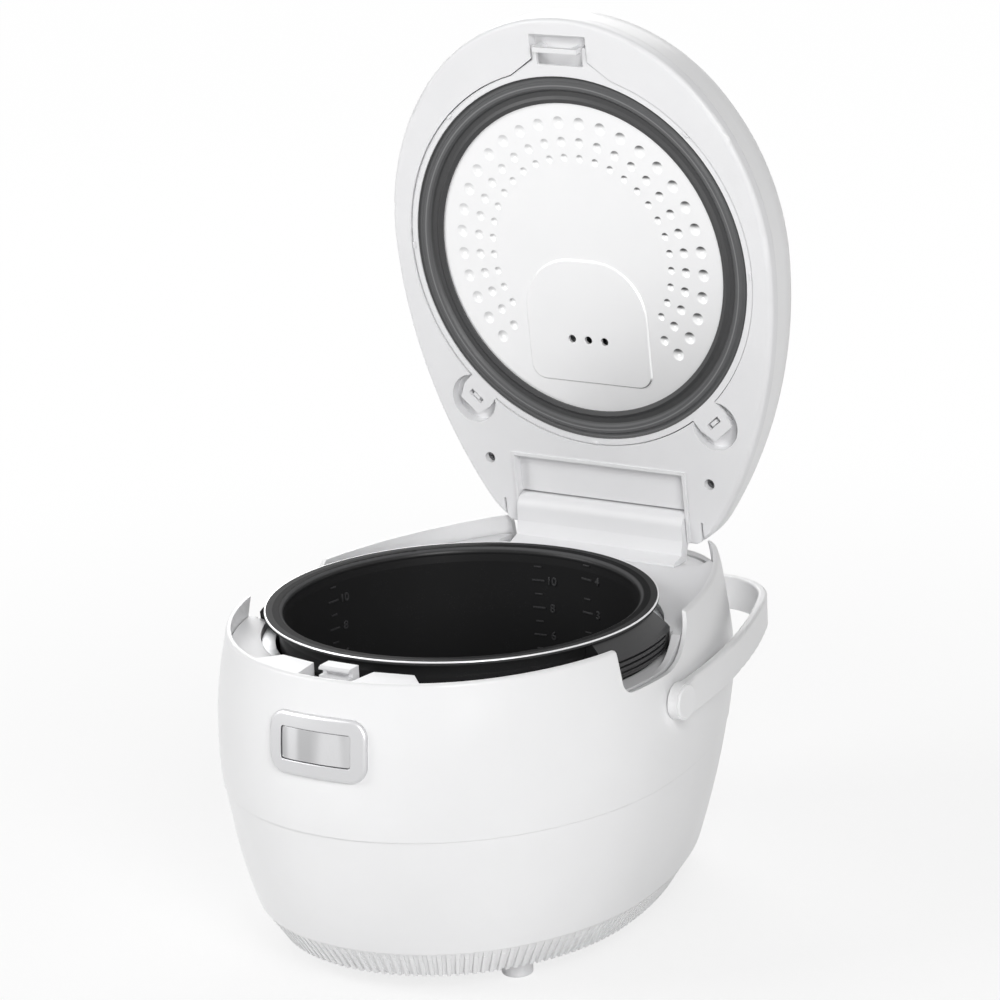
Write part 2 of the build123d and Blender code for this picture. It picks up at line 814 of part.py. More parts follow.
def inner_pot():
    """Deep pan with a rolled rim, drawn as a half section turned around the pot's axis."""
    top = pot_rim_height
    low = pot_base_height
    r = pot_wall_radius
    c = pot_corner_radius
    t = pot_wall
    lip = pot_rim_thickness
    bend = radians(45)
    outer = [
        Line((0, low), (r - c, low)),
        ThreePointArc((r - c, low), (r - c + c * sin(bend), low + c - c * cos(bend)), (r, low + c)),
        Line((r, low + c), (r + 1.0, top - lip - 8)),
        Line((r + 1.0, top - lip - 8), (r + 3.0, top - lip)),
        Line((r + 3.0, top - lip), (pot_rim_radius - 0.6, top - lip)),
        Line((pot_rim_radius - 0.6, top - lip), (pot_rim_radius, top - lip + 0.6)),
        Line((pot_rim_radius, top - lip + 0.6), (pot_rim_radius, top - 0.5)),
        Line((pot_rim_radius, top - 0.5), (pot_rim_radius - 0.5, top)),
        Line((pot_rim_radius - 0.5, top), (r + 1.2, top)),
        ThreePointArc((r + 1.2, top), (r - 1.2, top - 1.1), (r - 2.2, top - 4.5)),
        Line((r - 2.2, top - 4.5), (r - t + 0.4, top - 9.0)),
        Line((r - t + 0.4, top - 9.0), (r - t, low + c)),
        ThreePointArc(
            (r - t, low + c), (r - c + (c - t) * sin(bend), low + c - (c - t) * cos(bend)), (r - c, low + t),
        ),
        Line((r - c, low + t), (0, low + t)),
        Line((0, low + t), (0, low)),
    ]
    section = make_face([Plane.XZ * edge for edge in outer])
    pot = Pos(0, pot_y, 0) * revolve(section, Axis.Z)
    for side, rivet in rivets(0.02):
        pot -= rivet
    return pot


def pot_handle():
    """Right-hand grip: a curved block under the rim with a sloping top and finger ribs outside."""
    half = pot_handle_half_angle
    inner = pot_wall_radius + 1.3
    section = [
        (inner, pot_handle_low + 6), (inner, pot_rim_height - pot_rim_thickness - 8),
        (inner + 2.1, pot_rim_height - pot_rim_thickness - 0.1),
        (pot_rim_radius - 1.5, pot_rim_height - pot_rim_thickness - 0.1),
        (pot_rim_radius - 0.5, pot_handle_top), (pot_handle_reach - 1.5, pot_handle_top - 7.0),
        (pot_handle_reach, pot_handle_top - 9.0), (pot_handle_reach - 1.0, pot_handle_low + 2.0),
        (pot_handle_reach - 3.0, pot_handle_low), (pot_wall_radius + 6, pot_handle_low),
    ]
    face = make_face(Polyline(*[(x, 0, z) for x, z in section], close=True))
    grip = revolve(Rot(0, 0, -half) * face, Axis.Z, revolution_arc=2 * half)
    for index in range(3):
        z = pot_handle_low + 3.6 + 3.6 * index
        groove = tube(0, 0, z, z + 1.4, pot_handle_reach + 5, pot_handle_reach - 2.6)
        grip -= groove & block(60, 200, -29, 29, z - 1, z + 3)
    grip = Pos(0, pot_y, 0) * grip
    for side, rivet in rivets(0.02):
        if side > 0:
            grip -= rivet
    return grip


def rivets(grow=0.0):
    """Side and solid of each rivet that joins a handle to the pot's wall."""
    start = pot_wall_radius - 2.2
    stop = pot_wall_radius + 5.2
    for side in (-1, 1):
        for angle in (-9, 9):
            turn = angle if side > 0 else 180 - angle
            rivet = Pos((start + stop) / 2, 0, pot_handle_low + 12) * Rot(0, 90, 0) * Cylinder(
                rivet_radius + grow, stop - start + 2 * grow)
            yield side, Pos(0, pot_y, 0) * Rot(0, 0, turn) * rivet


def pot_rivets():
    return group([rivet for side, rivet in rivets()])


# ---------------------------------------------------------------- lid, drawn closed

def lid_center_y():
    return lid_y(168.0)


def lid_body(inset, low):
    """Domed block of the lid, inset all round, from low up to the crown less the inset."""
    form = extrude(egg(-inset, 0, low), lid_top_height - low + 8)
    crown_center = lid_top_height - lid_crown_radius
    form &= Pos(0, lid_center_y(), crown_center) * Sphere(lid_crown_radius - inset)
    upper = [edge for edge in form.edges() if edge.bounding_box().min.Z > low + 10]
    return fillet(upper, lid_edge_round - inset)


def crown_height(y):
    return lid_top_height - lid_crown_radius + sqrt(lid_crown_radius ** 2 - (y - lid_center_y()) ** 2)


def panel_plane():
    """Plane that touches the lid's crown at the middle of the control panel."""
    y = lid_y(panel_reach)
    tilt = asin((y - lid_center_y()) / lid_crown_radius)
    return Plane(origin=(0, y, crown_height(y)), x_dir=(1, 0, 0), z_dir=(0, sin(tilt), cos(tilt)))


def on_panel(sketch, low, high, x=0.0, y=0.0):
    """Sketch raised square to the panel plane, between two heights above it."""
    base = panel_plane().offset(low)
    return extrude(base * (Pos(x, y) * sketch), high - low, dir=base.z_dir)


def vent_y():
    return lid_y(vent_reach)


def lid_cover():
    """Outer skin of the lid, with seats for the control panel and the steam cap."""
    skin = lid_body(0, lid_seam_height) - lid_body(lid_wall, lid_seam_height - 1)
    floor = -panel_sheet - panel_sink - clearance
    seat = RectangleRounded(panel_width + 4, panel_length + 4, panel_corner + 2)
    tray = on_panel(seat, floor - lid_wall, 0)
    skin += tray & lid_body(0, lid_seam_height)
    skin -= on_panel(RectangleRounded(panel_width, panel_length, panel_corner), floor, 10)
    for name, (sketch, x, y) in key_layout().items():
        skin -= on_panel(offset(sketch, key_gap), floor - 10, 0, x, y)
    skin -= on_panel(Rectangle(window_width - 2, window_length - 2), floor - 10, 0, 0, window_v)
    for x in (-48, 48):
        for y in (-24, 24):
            skin += on_panel(Circle(2.6), board_top, floor - 1, x, y)
    top = crown_height(vent_y())
    seat = drum(0, vent_y(), top - cap_sink - lid_wall, top + 3, cap_radius + 4)
    skin += seat & lid_body(0, lid_seam_height)
    skin -= drum(0, vent_y(), top - cap_sink, top + 10, cap_radius + 0.6)
    skin -= drum(0, vent_y(), top - 20, top + 10, vent_radius + clearance)
    for room in both_sides(block(
        arm_inner - 0.3, arm_outer + 0.3, hinge_y - 9, hinge_y + 30, 200, hinge_height + barrel_radius + 0.3,
    )):
        skin -= room
    for x in (-lid_screw_x, lid_screw_x):
        post = drum(x, lid_y(lid_screw_reach), lid_seam_height + 5, lid_top_height, 4.5)
        skin += post & lid_body(0.5, lid_seam_height)
        skin -= drum(x, lid_y(lid_screw_reach), lid_seam_height + 4, lid_seam_height + 17, 1.5)
    return skin


def neck_outline(grow=0.0, tip=None):
    """Plan of the pull-tab at the front of the inner lid's ring."""
    tip = neck_tip if tip is None else tip
    root_half = neck_root_half + grow
    half = neck_half + grow
    points = [
        (-root_half, lid_y(neck_root)), (-half, lid_y(neck_shoulder + grow)), (-half, lid_y(tip)),
        (half, lid_y(tip)), (half, lid_y(neck_shoulder + grow)), (root_half, lid_y(neck_root)),
        (0.6 * root_half, lid_y(neck_root - 14)), (-0.6 * root_half, lid_y(neck_root - 14)),
    ]
    return make_face(Polyline(*points, close=True))


def prism(sketch, low, high):
    return extrude(Pos(0, 0, low) * sketch, high - low)


def hinge_recess(grow=0.0):
    """Room in the lid for the hinge: a shallow panel, then a deep slot for the housing."""
    y, z = hinge_y, hinge_height
    rear = y + 10.2
    slot = y - hinge_panel_end - grow
    return side_profile([
        (y - 38.0 - grow, lid_face_height - 1), (y - 36.0 - grow, z + grow), (slot, z + grow),
        (slot, z + 13.0 + grow), (rear, z + 13.0 + grow), (rear, lid_face_height - 1),
    ], -arm_inner - grow, arm_inner + grow)


def hinge_arm():
    """Square-ended arm of the lid around the shaft."""
    y, z = hinge_y, hinge_height
    arm = block(arm_inner, arm_outer, y - 40, y + barrel_radius, lid_face_height, z + barrel_radius)
    rear = arm.edges().filter_by(Axis.X).group_by(Axis.Y)[-1]
    arm = fillet(rear, 2.0)
    return arm - cross_rod(arm_inner - 1, arm_outer + 1, y, z, shaft_radius + running_gap)


def lid_catch():
    """Bar across the neck's recess that the hook's nose holds, between two cheeks."""
    back = hook_y - hook_thickness - hook_rib - catch_gap
    front = back - catch_thickness
    top = hook_top - hook_nose_height - catch_drop
    low = top - catch_height
    catch = block(-catch_half, catch_half, front, back, low, top)
    for side in (-1, 1):
        x_low, x_high = sorted((side * (hook_width / 2 + catch_cheek), side * catch_half))
        catch += block(x_low, x_high, front, back, low, neck_ceiling + 1)
    return catch


def lid_frame():
    """Inner half of the lid: face, skirt, round recess for the inner lid and the hinge arms."""
    face = lid_face_height
    skirt = prism(egg(), face, lid_seam_height)
    skirt = fillet(skirt.faces().sort_by(Axis.Z)[0].edges(), 3.0)
    frame = skirt - prism(egg(-lid_wall), face + 3.0, lid_seam_height + 1)
    tongue = prism(egg(-lid_wall - clearance), face + 2, lid_seam_height + 3)
    frame += tongue - prism(egg(-lid_wall - 1.8), face + 1, lid_seam_height + 4)
    center = lid_y(175.0)
    frame += drum(0, center, face, recess_ceiling, recess_radius + recess_wall)
    frame += prism(neck_outline(recess_wall + seat_gap, recess_tip + recess_wall), face, neck_ceiling + 2)
    recess = hinge_recess()
    frame -= block(-arm_inner, arm_inner, hinge_y - 38, hinge_y + 40, face - 2, face + 20)
    frame -= block(-trough_half, trough_half, hinge_y - 7, hinge_y + 40, face - 2, hinge_height + 16)
    roof = hinge_recess(2.2) - recess
    frame += roof & lid_body(lid_wall + clearance, face - 2)
    frame -= recess
    for arm in both_sides(hinge_arm()):
        frame += arm & prism(egg(-0.2), 150, 260)
    frame -= drum(0, center, face - 1, recess_ceiling - 2, recess_radius)
    frame -= prism(neck_outline(seat_gap, recess_tip), face - 1, neck_ceiling)
    frame -= drum(0, vent_y(), face, recess_ceiling + 1, vent_radius + clearance)
    for x in (-lid_screw_x, lid_screw_x):
        y = lid_y(lid_screw_reach)
        frame += drum(x, y, face + 2, lid_seam_height + 4.9, 5.6)
        frame -= drum(x, y, face - 1, face + 6, 3.6)
        frame -= drum(x, y, face, lid_seam_height + 6, 1.8)
    for x in (-clip_x, clip_x):
        y = lid_y(clip_reach)
        can = drum(x, y, face, clip_floor + 1.6, clip_recess_radius + 1.8)
        frame += can - drum(0, center, face - 1, recess_ceiling - 2, recess_radius)
        frame -= drum(x, y, face - 1, clip_floor, clip_recess_radius)
    frame += lid_catch()
    frame -= cross_rod(-arm_outer - 1, arm_outer + 1, hinge_y, hinge_height, shaft_radius + running_gap)
    return frame


def beside_ring(shape, side):
    """Turn a shape drawn along +X from the lid's middle to one of the two clip places."""
    angle = degrees(atan2(lid_y(clip_reach) - lid_y(175.0), side * clip_x))
    return Pos(0, lid_y(175.0), 0) * Rot(0, 0, angle) * shape


def lid_clips():
    """Pegs on the lid that snap into the slots of the inner lid's ears."""
    peg = block(ear_slot_reach - 6, ear_slot_reach + 6, -9, 9, clip_floor - 2.2, clip_floor - 0.1)
    peg += block(ear_slot_reach - 1.2, ear_slot_reach + 1.2, -2.6, 2.6, gasket_low + 0.3, clip_floor - 2)
    return group([beside_ring(peg, -1), beside_ring(peg, 1)])


def lid_screws():
    solids = []
    for x in (-lid_screw_x, lid_screw_x):
        y = lid_y(lid_screw_reach)
        screw = drum(x, y, lid_face_height + 3.6, lid_face_height + 6, 3.3)
        screw += drum(x, y, lid_face_height + 6, lid_seam_height + 16, 1.5)
        cross = Box(4.2, 1.0, 1.6) + Box(1.0, 4.2, 1.6)
        solids.append(screw - Pos(x, y, lid_face_height + 4) * cross)
    return group(solids)


def ring_ear():
    """Ear of the ring with the slot for the lid's peg, drawn along +X."""
    low = gasket_low - 0.2
    inner = gasket_radius + 1
    outline = make_face(Polyline(
        (inner, -10.8), (131.0, -11.4), (ear_reach, -8.0), (ear_reach, 8.0), (131.0, 11.4), (inner, 10.8),
        close=True,
    ))
    ear = extrude(Pos(0, 0, low) * outline, 2.4)
    return ear - block(ear_slot_reach - 1.9, ear_slot_reach + 1.9, -5.2, 5.2, low - 1, low + 4)


def inner_lid_ring():
    """White ring that carries the gasket, with two ears and a neck beside the latch."""
    center = lid_y(175.0)
    low = gasket_low - 0.2
    ring = tube(0, center, low, gasket_top + 1.6, ring_radius, gasket_radius + 0.1)
    ring += tube(0, center, gasket_top + 0.1, gasket_top + 1.6, ring_radius, plate_radius + 6.5)
    neck = prism(neck_outline(), low, low + 2.3)
    ring += neck - drum(0, center, 190, 230, gasket_radius + 2)
    window = (lid_y(neck_tip + 2), lid_y(neck_shoulder - 3))
    ring -= block(-neck_window_half, neck_window_half, *window, 190, 230)
    ring += beside_ring(ring_ear(), -1)
    ring += beside_ring(ring_ear(), 1)
    return ring


def lid_gasket():
    """Rubber seal that presses on the pot's rim, turned from its stepped section."""
    r = plate_radius
    z = gasket_low
    section = [
        (r, plate_face - 0.1), (r, z + 1.9), (r + 2.6, z + 1.1), (r + 4.6, z + 2.2), (r + 7.6, z + 2.2),
        (r + 9.6, z + 0.2), (r + 13.6, z), (r + 14.6, z + 1.2), (r + 15.8, z + 1.2), (gasket_radius, z + 0.4),
        (gasket_radius, gasket_top), (r + 5.6, gasket_top), (r + 5.6, plate_face - 0.1),
    ]
    face = make_face(Polyline(*[(x, 0, z) for x, z in section], close=True))
    return Pos(0, lid_y(175.0), 0) * revolve(face, Axis.Z)


def inner_lid_plate():
    """Metal plate over the pot, with a raised panel round its three steam holes."""
    center = lid_y(175.0)
    plate = drum(0, center, plate_face, plate_face + plate_sheet, plate_radius + 5.4)
    middle = lid_y((plate_panel_low + plate_panel_high) / 2)
    outline = Pos(0, middle) * Rectangle(2 * plate_panel_half, plate_panel_high - plate_panel_low)
    outline = fillet(outline.vertices().group_by(Axis.Y)[-1], 10)
    outline = fillet(outline.vertices().group_by(Axis.Y)[0], 36)
    raised = extrude(Pos(0, 0, plate_face - plate_emboss) * outline, plate_emboss + 0.4)
    raised = chamfer(raised.faces().sort_by(Axis.Z)[0].edges(), plate_emboss * 0.7)
    plate += raised
    for index in (-1, 0, 1):
        x, y = index * steam_hole_spacing, lid_y(steam_reach)
        plate -= drum(x, y, plate_face - 4, plate_face + 4, steam_hole_radius)
    dimples = []
    for radius, size, count in dimple_rings:
        ball = (size ** 2 + dimple_depth ** 2) / (2 * dimple_depth)
        for step in range(count):
            x, y = at((0, lid_y(dimple_center)), radius, -90 + dimple_pitch * (step - (count - 1) / 2))
            dimples.append(Pos(x, y, plate_face + dimple_depth - ball) * Sphere(ball))
    return plate - dimples


def lid_heater():
    center = lid_y(175.0)
    heater = drum(0, center, recess_ceiling - 3.5, recess_ceiling - 2.1, 104.0)
    return heater - drum(0, vent_y(), 190, 230, vent_radius + 1.0)


def steam_vent():
    low = recess_ceiling - 4.0
    top = crown_height(vent_y()) - cap_sink
    vent = tube(0, vent_y(), low, top, vent_radius, vent_radius - 2.0)
    low = recess_ceiling + 0.1
    return vent + tube(0, vent_y(), low, low + 2.0, vent_radius + 4, vent_radius - 1)


def steam_cap():
    """Lift-off cap of the steam vent: a domed disc with a slotted top and a skirt in the vent."""
    low = crown_height(vent_y()) - cap_sink + 0.1
    cap = drum(0, vent_y(), low, low + cap_height, cap_radius)
    cap = fillet(cap.faces().sort_by(Axis.Z)[-1].edges(), 2.5)
    cap += tube(0, vent_y(), low - 8, low + 1, vent_radius - 2.0 - slide_gap, vent_radius - 5.0)
    cap -= drum(0, vent_y(), low - 9, low + cap_height - 3, vent_radius - 5.0)
    for index in range(-2, 3):
        half = (9, 12, 13, 12, 9)[index + 2]
        y = vent_y() + index * 5
        cap -= block(-half, half, y - 1.1, y + 1.1, low + cap_height - 4, low + cap_height + 1)
    return cap


def key_layout():
    """Outline and place of each key on the panel."""
    small = RectangleRounded(small_key_width, small_key_length, 3.2)
    return {
        "start_key": (Circle(round_key_radius), 40.0, -14.0),
        "cancel_key": (Circle(round_key_radius), -40.0, -14.0),
        "menu_key": (small, 0.0, -20.0),
        "up_key": (small, 43.0, 14.0),
        "down_key": (small, -43.0, 14.0),
    }


def control_panel():
    outline = RectangleRounded(panel_width - 0.6, panel_length - 0.6, panel_corner - 0.3)
    plate = on_panel(outline, -panel_sink - panel_sheet, -panel_sink)
    for name, (sketch, x, y) in key_layout().items():
        plate -= on_panel(offset(sketch, key_gap), -20, 10, x, y)
    return plate - on_panel(Rectangle(window_width, window_length), -20, 10, 0, window_v)


def key(name):
    sketch, x, y = key_layout()[name]
    top = -panel_sink + key_proud
    cap = on_panel(sketch, top - key_height, top, x, y)
    return cap


def display_window():
    pane = Rectangle(window_width - 0.3, window_length - 0.3)
    return on_panel(pane, -panel_sink - 1.2, -panel_sink, 0, window_v)


def display_module():
    return on_panel(Rectangle(window_width - 4, window_length - 4), board_top, -panel_sink - 1.3, 0, window_v)


def lid_board():
    board = on_panel(RectangleRounded(106, 56, 6), board_top - 1.6, board_top - 0.05)
    switch_top = -panel_sink + key_proud - key_height - key_travel - 0.05
    for name, (sketch, x, y) in key_layout().items():
        board += on_panel(Rectangle(6, 6), board_top - 0.5, switch_top, x, y)
    return board


# ---------------------------------------------------------------- carrying handle

def handle_inner():
    """Inner face of the strap at its pivots."""
    return side_half(handle_pivot_y, handle_pivot_z) + handle_gap


def handle_path():
    """Middle line of the strap, seen from above: two slightly curved arms and the bar behind."""
    lean = radians(handle_lean)
    middle = handle_inner() + handle_strap / 2
    center = (middle - handle_arm_radius * cos(lean), handle_pivot_y - handle_arm_radius * sin(lean))
    corner_y = handle_rear_y - handle_corner
    turn = degrees(asin((corner_y - center[1]) / (handle_arm_radius - handle_corner)))
    corner = (center[0] + (handle_arm_radius - handle_corner) * cos(radians(turn)), corner_y)
    right = [arc(center, handle_arm_radius, handle_lean, turn), arc(corner, handle_corner, turn, 90)]
    left = [edge.mirror(Plane.YZ) for edge in right]
    back = Line(right[-1] @ 1, left[-1] @ 1)
    return Pos(0, 0, handle_pivot_z) * Wire([*right, back, *left])


def carry_handle():
    path = handle_path()
    section = Plane(origin=path @ 0, z_dir=path % 0, x_dir=(0, 0, 1)) * RectangleRounded(
        handle_width, handle_strap, 1.6)
    strap = sweep(section, path=path)
    for eye in both_sides(handle_eye()):
        strap += eye
    for hole in both_sides(handle_pin_hole()):
        strap -= hole
    return strap


def handle_eye():
    inner = handle_inner()
    outer = inner + handle_strap + 0.45
    return cross_rod(inner - 0.35, outer, handle_pivot_y, handle_pivot_z, handle_eye_radius)


def handle_pins():
    """Pivot pins through the side walls, each with a broad flange inside the wall."""
    inner = handle_inner()
    y, z = handle_pivot_y, handle_pivot_z
    pin = cross_rod(inner - 14, inner + handle_strap - 1.0, y, z, handle_pin_radius - running_gap)
    pin += cross_rod(inner - 14, inner - 8, y, z, 10.5)
    return group([part_solid(one) for one in both_sides(pin)])


def handle_caps():
    """Round covers pressed over the eyes of the handle."""
    start = handle_inner() + handle_strap + 0.45
    cap = cross_rod(start, start + 1.45, handle_pivot_y, handle_pivot_z, handle_eye_radius - 0.8)
    cap = fillet(cap.faces().sort_by(Axis.X)[-1].edges(), 1.0)
    return group([part_solid(one) for one in both_sides(cap)])


# ---------------------------------------------------------------- assembly

def open_lid(shape):
    """Turn a piece of the closed lid to its open place."""
    axis = Axis((0, hinge_y, hinge_height), (1, 0, 0))
    return shape.rotate(axis, -lid_open_angle)


def body_pieces():
    return {
        "upper_body_shell": upper_shell(),
        "lower_body_shell": lower_shell(),
        "ribbed_base_band": ribbed_band(),
        "floor_panel": floor_panel(),
        "feet": feet(),
        "foot_screws": foot_screws(),
        "top_deck": deck(),
        "hinge_housing": hinge_housing(),
        "hinge_shaft": hinge_shaft(),
        "hinge_springs": hinge_springs(),
        "pot_well": pot_well(),
        "well_supports": well_supports(),
        "heating_plate": heating_plate(),
        "heating_element": heating_element(),
        "sensor_cap": sensor_cap(),
        "sensor_bracket": sensor_bracket(),
        "sensor_spring": sensor_spring(),
        "side_heater_band": band_heater(),
        "heat_shield": heat_shield(),
        "power_board": power_board(),
        "board_posts": board_posts(),
        "power_inlet": inlet_socket(),
        "inlet_pins": inlet_pins(),
        "button_bezel": button_bezel(),
        "release_button": release_button(),
        "latch_lever": latch_lever(),
        "latch_pin": latch_pin(),
        "latch_bracket": latch_bracket(),
        "latch_spring": latch_spring(),
        "handle_pins": handle_pins(),
        "carry_handle": carry_handle(),
        "handle_caps": handle_caps(),
    }


def pot_pieces():
    return {
        "inner_pot": inner_pot(),
        "pot_handle_right": pot_handle(),
        "pot_handle_left": mirror(pot_handle(), Plane.YZ),
        "pot_rivets": pot_rivets(),
    }


def lid_pieces():
    pieces = {
        "lid_cover": lid_cover(),
        "lid_frame": lid_frame(),
        "lid_clips": lid_clips(),
        "lid_screws": lid_screws(),
        "inner_lid_ring": inner_lid_ring(),
        "lid_gasket": lid_gasket(),
        "inner_lid_plate": inner_lid_plate(),
        "lid_heater": lid_heater(),
        "steam_vent": steam_vent(),
        "steam_cap": steam_cap(),
        "control_panel": control_panel(),
        "display_window": display_window(),
        "display_module": display_module(),
        "lid_board": lid_board(),
    }
    for name in key_layout():
        pieces[name] = key(name)
    return {name: open_lid(shape) for name, shape in pieces.items()}


def main():
    os.makedirs("parts", exist_ok=True)
    for name, shape in {**body_pieces(), **pot_pieces(), **lid_pieces()}.items():
        export_step(shape, f"parts/{name}.step")


if __name__ == "__main__":
    main()
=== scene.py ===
import json
import math

import bmesh
import bpy
from mathutils import Matrix, Vector


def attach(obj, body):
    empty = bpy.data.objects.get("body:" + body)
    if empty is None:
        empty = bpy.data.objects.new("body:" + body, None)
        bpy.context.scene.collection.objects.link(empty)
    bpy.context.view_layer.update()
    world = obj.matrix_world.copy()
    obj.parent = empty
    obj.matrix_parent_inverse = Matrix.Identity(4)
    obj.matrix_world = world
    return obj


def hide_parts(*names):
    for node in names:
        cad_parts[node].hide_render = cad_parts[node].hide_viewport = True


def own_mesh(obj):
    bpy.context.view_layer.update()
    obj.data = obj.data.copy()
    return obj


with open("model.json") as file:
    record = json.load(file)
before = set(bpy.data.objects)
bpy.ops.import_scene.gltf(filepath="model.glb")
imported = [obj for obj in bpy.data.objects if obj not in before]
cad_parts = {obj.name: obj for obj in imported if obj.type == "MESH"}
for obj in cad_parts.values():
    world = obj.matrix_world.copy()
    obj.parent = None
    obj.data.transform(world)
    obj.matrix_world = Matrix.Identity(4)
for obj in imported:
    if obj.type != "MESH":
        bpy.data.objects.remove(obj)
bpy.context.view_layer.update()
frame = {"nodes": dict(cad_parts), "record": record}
nodes = frame["nodes"]
slotOf = {part["node"]: part["material_slot"] for part in frame["record"]["subparts"]}
hinge = Vector((0.0, 0.1504, 0.208))
potMiddle = Vector((0.0, -0.0246, 0.0))
lidAngle = math.radians(84.0)   # how far the lid stands open at rest
lidTurn = Matrix.Translation(hinge) @ Matrix.Rotation(-lidAngle, 4, "X") @ Matrix.Translation(-hinge)
print("frame loaded,", len(nodes), "nodes")


# a socket in a sum: a + b or 1 - a adds the Math node it needs
class Wire:
    def __init__(self, owner, socket):
        self.owner = owner
        self.socket = socket

    def sum(self, operation, first, second=None):
        values = {0: first} if second is None else {0: first, 1: second}
        return self.owner.node("ShaderNodeMath", {"operation": operation}, values)

    def __add__(self, other):
        return self.sum("ADD", self, other)

    def __radd__(self, other):
        return self.sum("ADD", other, self)

    def __sub__(self, other):
        return self.sum("SUBTRACT", self, other)

    def __rsub__(self, other):
        return self.sum("SUBTRACT", other, self)

    def __mul__(self, other):
        return self.sum("MULTIPLY", self, other)

    def __rmul__(self, other):
        return self.sum("MULTIPLY", other, self)

    def __pow__(self, other):
        return self.sum("POWER", self, other)

    def larger(self, other):
        return self.sum("MAXIMUM", self, other)

    # 0 below low, 1 above high, soft between
    def rise(self, low, high):
        return self.owner.node("ShaderNodeMapRange", {"interpolation_type": "SMOOTHSTEP"},
                               {"Value": self, "From Min": low, "From Max": high})

    # 1 between low and high, with soft ends
    def band(self, low, high, soft):
        return self.rise(low - soft, low + soft) * (1 - self.rise(high - soft, high + soft))


# the nodes of a material or of the world
class Nodes:
    def __init__(self, tree):
        self.tree = tree

    # a socket takes a wire, or a value that stays the same all over
    def feed(self, socket, value):
        if isinstance(value, Wire):
            self.tree.links.new(value.socket, socket)
        else:
            socket.default_value = value

    # any node: its type, its settings, then what its sockets take
    def node(self, kind, settings=None, values=None, output=0):
        made = self.tree.nodes.new(kind)
        for name, setting in (settings or {}).items():
            setattr(made, name, setting)
        for name, value in (values or {}).items():
            self.feed(made.inputs[name], value)
        return Wire(self, made.outputs[output])

    # 1 where the surroundings are seen, also mirrored or through glass, and 0 for the rest of their light
    def seen(self):
        straight, mirrored, through = (self.node("ShaderNodeLightPath", output=f"Is {ray} Ray")
                                       for ray in ("Camera", "Glossy", "Transmission"))
        return straight.larger(mirrored).larger(through)


class Finish(Nodes):
    def __init__(self, name, color, roughness, metallic=0.0):
        self.material = bpy.data.materials.new(name)
        self.material.use_nodes = True
        super().__init__(self.material.node_tree)
        self.shader = self.tree.nodes["Principled BSDF"]
        self.color = color
        self.place = self.node("ShaderNodeTexCoord", output="Object")
        self.set(Base_Color=(*color, 1.0), Roughness=roughness, Metallic=metallic)

    # the sockets of the shader itself
    def set(self, **values):
        for name, value in values.items():
            self.feed(self.shader.inputs[name.replace("_", " ")], value)

    def axis(self, letter, place=None):
        return self.node("ShaderNodeSeparateXYZ", None, {0: place or self.place}, letter)

    def moved(self, location=(0, 0, 0), rotation=(0, 0, 0), scale=(1, 1, 1), place=None):
        return self.node("ShaderNodeMapping", {"vector_type": "POINT"}, {
            "Vector": place or self.place, "Location": location, "Rotation": rotation, "Scale": scale})

    def noise(self, size, detail=2.0, rough=0.5, place=None):
        return self.node("ShaderNodeTexNoise", None, {
            "Vector": place or self.place, "Scale": 1 / size, "Detail": detail, "Roughness": rough})

    def cells(self, size):
        return self.node("ShaderNodeTexVoronoi", None, {"Vector": self.place, "Scale": 1 / size}, "Distance")

    # lays a second colour over the first by a share, and gives the mix for the next layer
    def paint(self, share, second, first=None):
        ground = first or (*self.color, 1.0)
        mixed = self.node("ShaderNodeMix", {"data_type": "RGBA"}, {0: share, 6: ground, 7: (*second, 1.0)}, 2)
        self.set(Base_Color=mixed)
        return mixed

    # rounds the edges that the light meets, then adds the relief: both in metres
    def relief(self, height, edge):
        normal = self.node("ShaderNodeBevel", {"samples": 4}, {"Radius": edge})
        if height is not None:
            normal = self.node("ShaderNodeBump", None,
                               {"Height": height, "Distance": 1.0, "Strength": 1.0, "Normal": normal})
        self.set(Normal=normal)


# white plastic is a little darker in soft clouds
cloudLook = {"shade": 0.965, "share": 0.5, "from": 0.35, "to": 0.7}


def cloud(finish, flow):
    shade = tuple(cloudLook["shade"] * c for c in finish.color)
    finish.paint(flow.rise(cloudLook["from"], cloudLook["to"]) * cloudLook["share"], shade)


# gloss moulded plastic: faint flow ripple, tiny specks and slightly uneven gloss
shellLook = {"color": (0.88, 0.88, 0.885), "roughness": 0.27, "sheen": 0.36, "ripple": 0.0000035,
             "rippleSize": 0.006, "flowSize": 0.07, "speckSize": 0.0011, "edge": 0.0006}


def makeShellWhite():
    finish = Finish("shellWhite", shellLook["color"], shellLook["roughness"])
    ripple = finish.noise(shellLook["rippleSize"], 2.0)
    flow = finish.noise(shellLook["flowSize"], 3.0)
    specks = finish.noise(shellLook["speckSize"], 2.0)
    cloud(finish, flow)
    finish.set(Roughness=shellLook["roughness"] + 0.06 * flow + 0.04 * specks,
               Specular_IOR_Level=shellLook["sheen"])
    finish.relief(ripple * shellLook["ripple"], shellLook["edge"])
    return finish.material


# satin moulded plastic, spark-eroded grain
innerLook = {"color": (0.83, 0.83, 0.84), "roughness": 0.42, "grain": 0.000006, "grainSize": 0.0006,
             "cloudSize": 0.05, "edge": 0.0005}


def makeInnerWhite():
    finish = Finish("innerWhite", innerLook["color"], innerLook["roughness"])
    grain = finish.noise(innerLook["grainSize"], 3.0, 0.6)
    cloud(finish, finish.noise(innerLook["cloudSize"], 2.0))
    finish.set(Roughness=innerLook["roughness"] - 0.05 + 0.1 * grain)
    finish.relief(grain * innerLook["grain"], innerLook["edge"])
    return finish.material


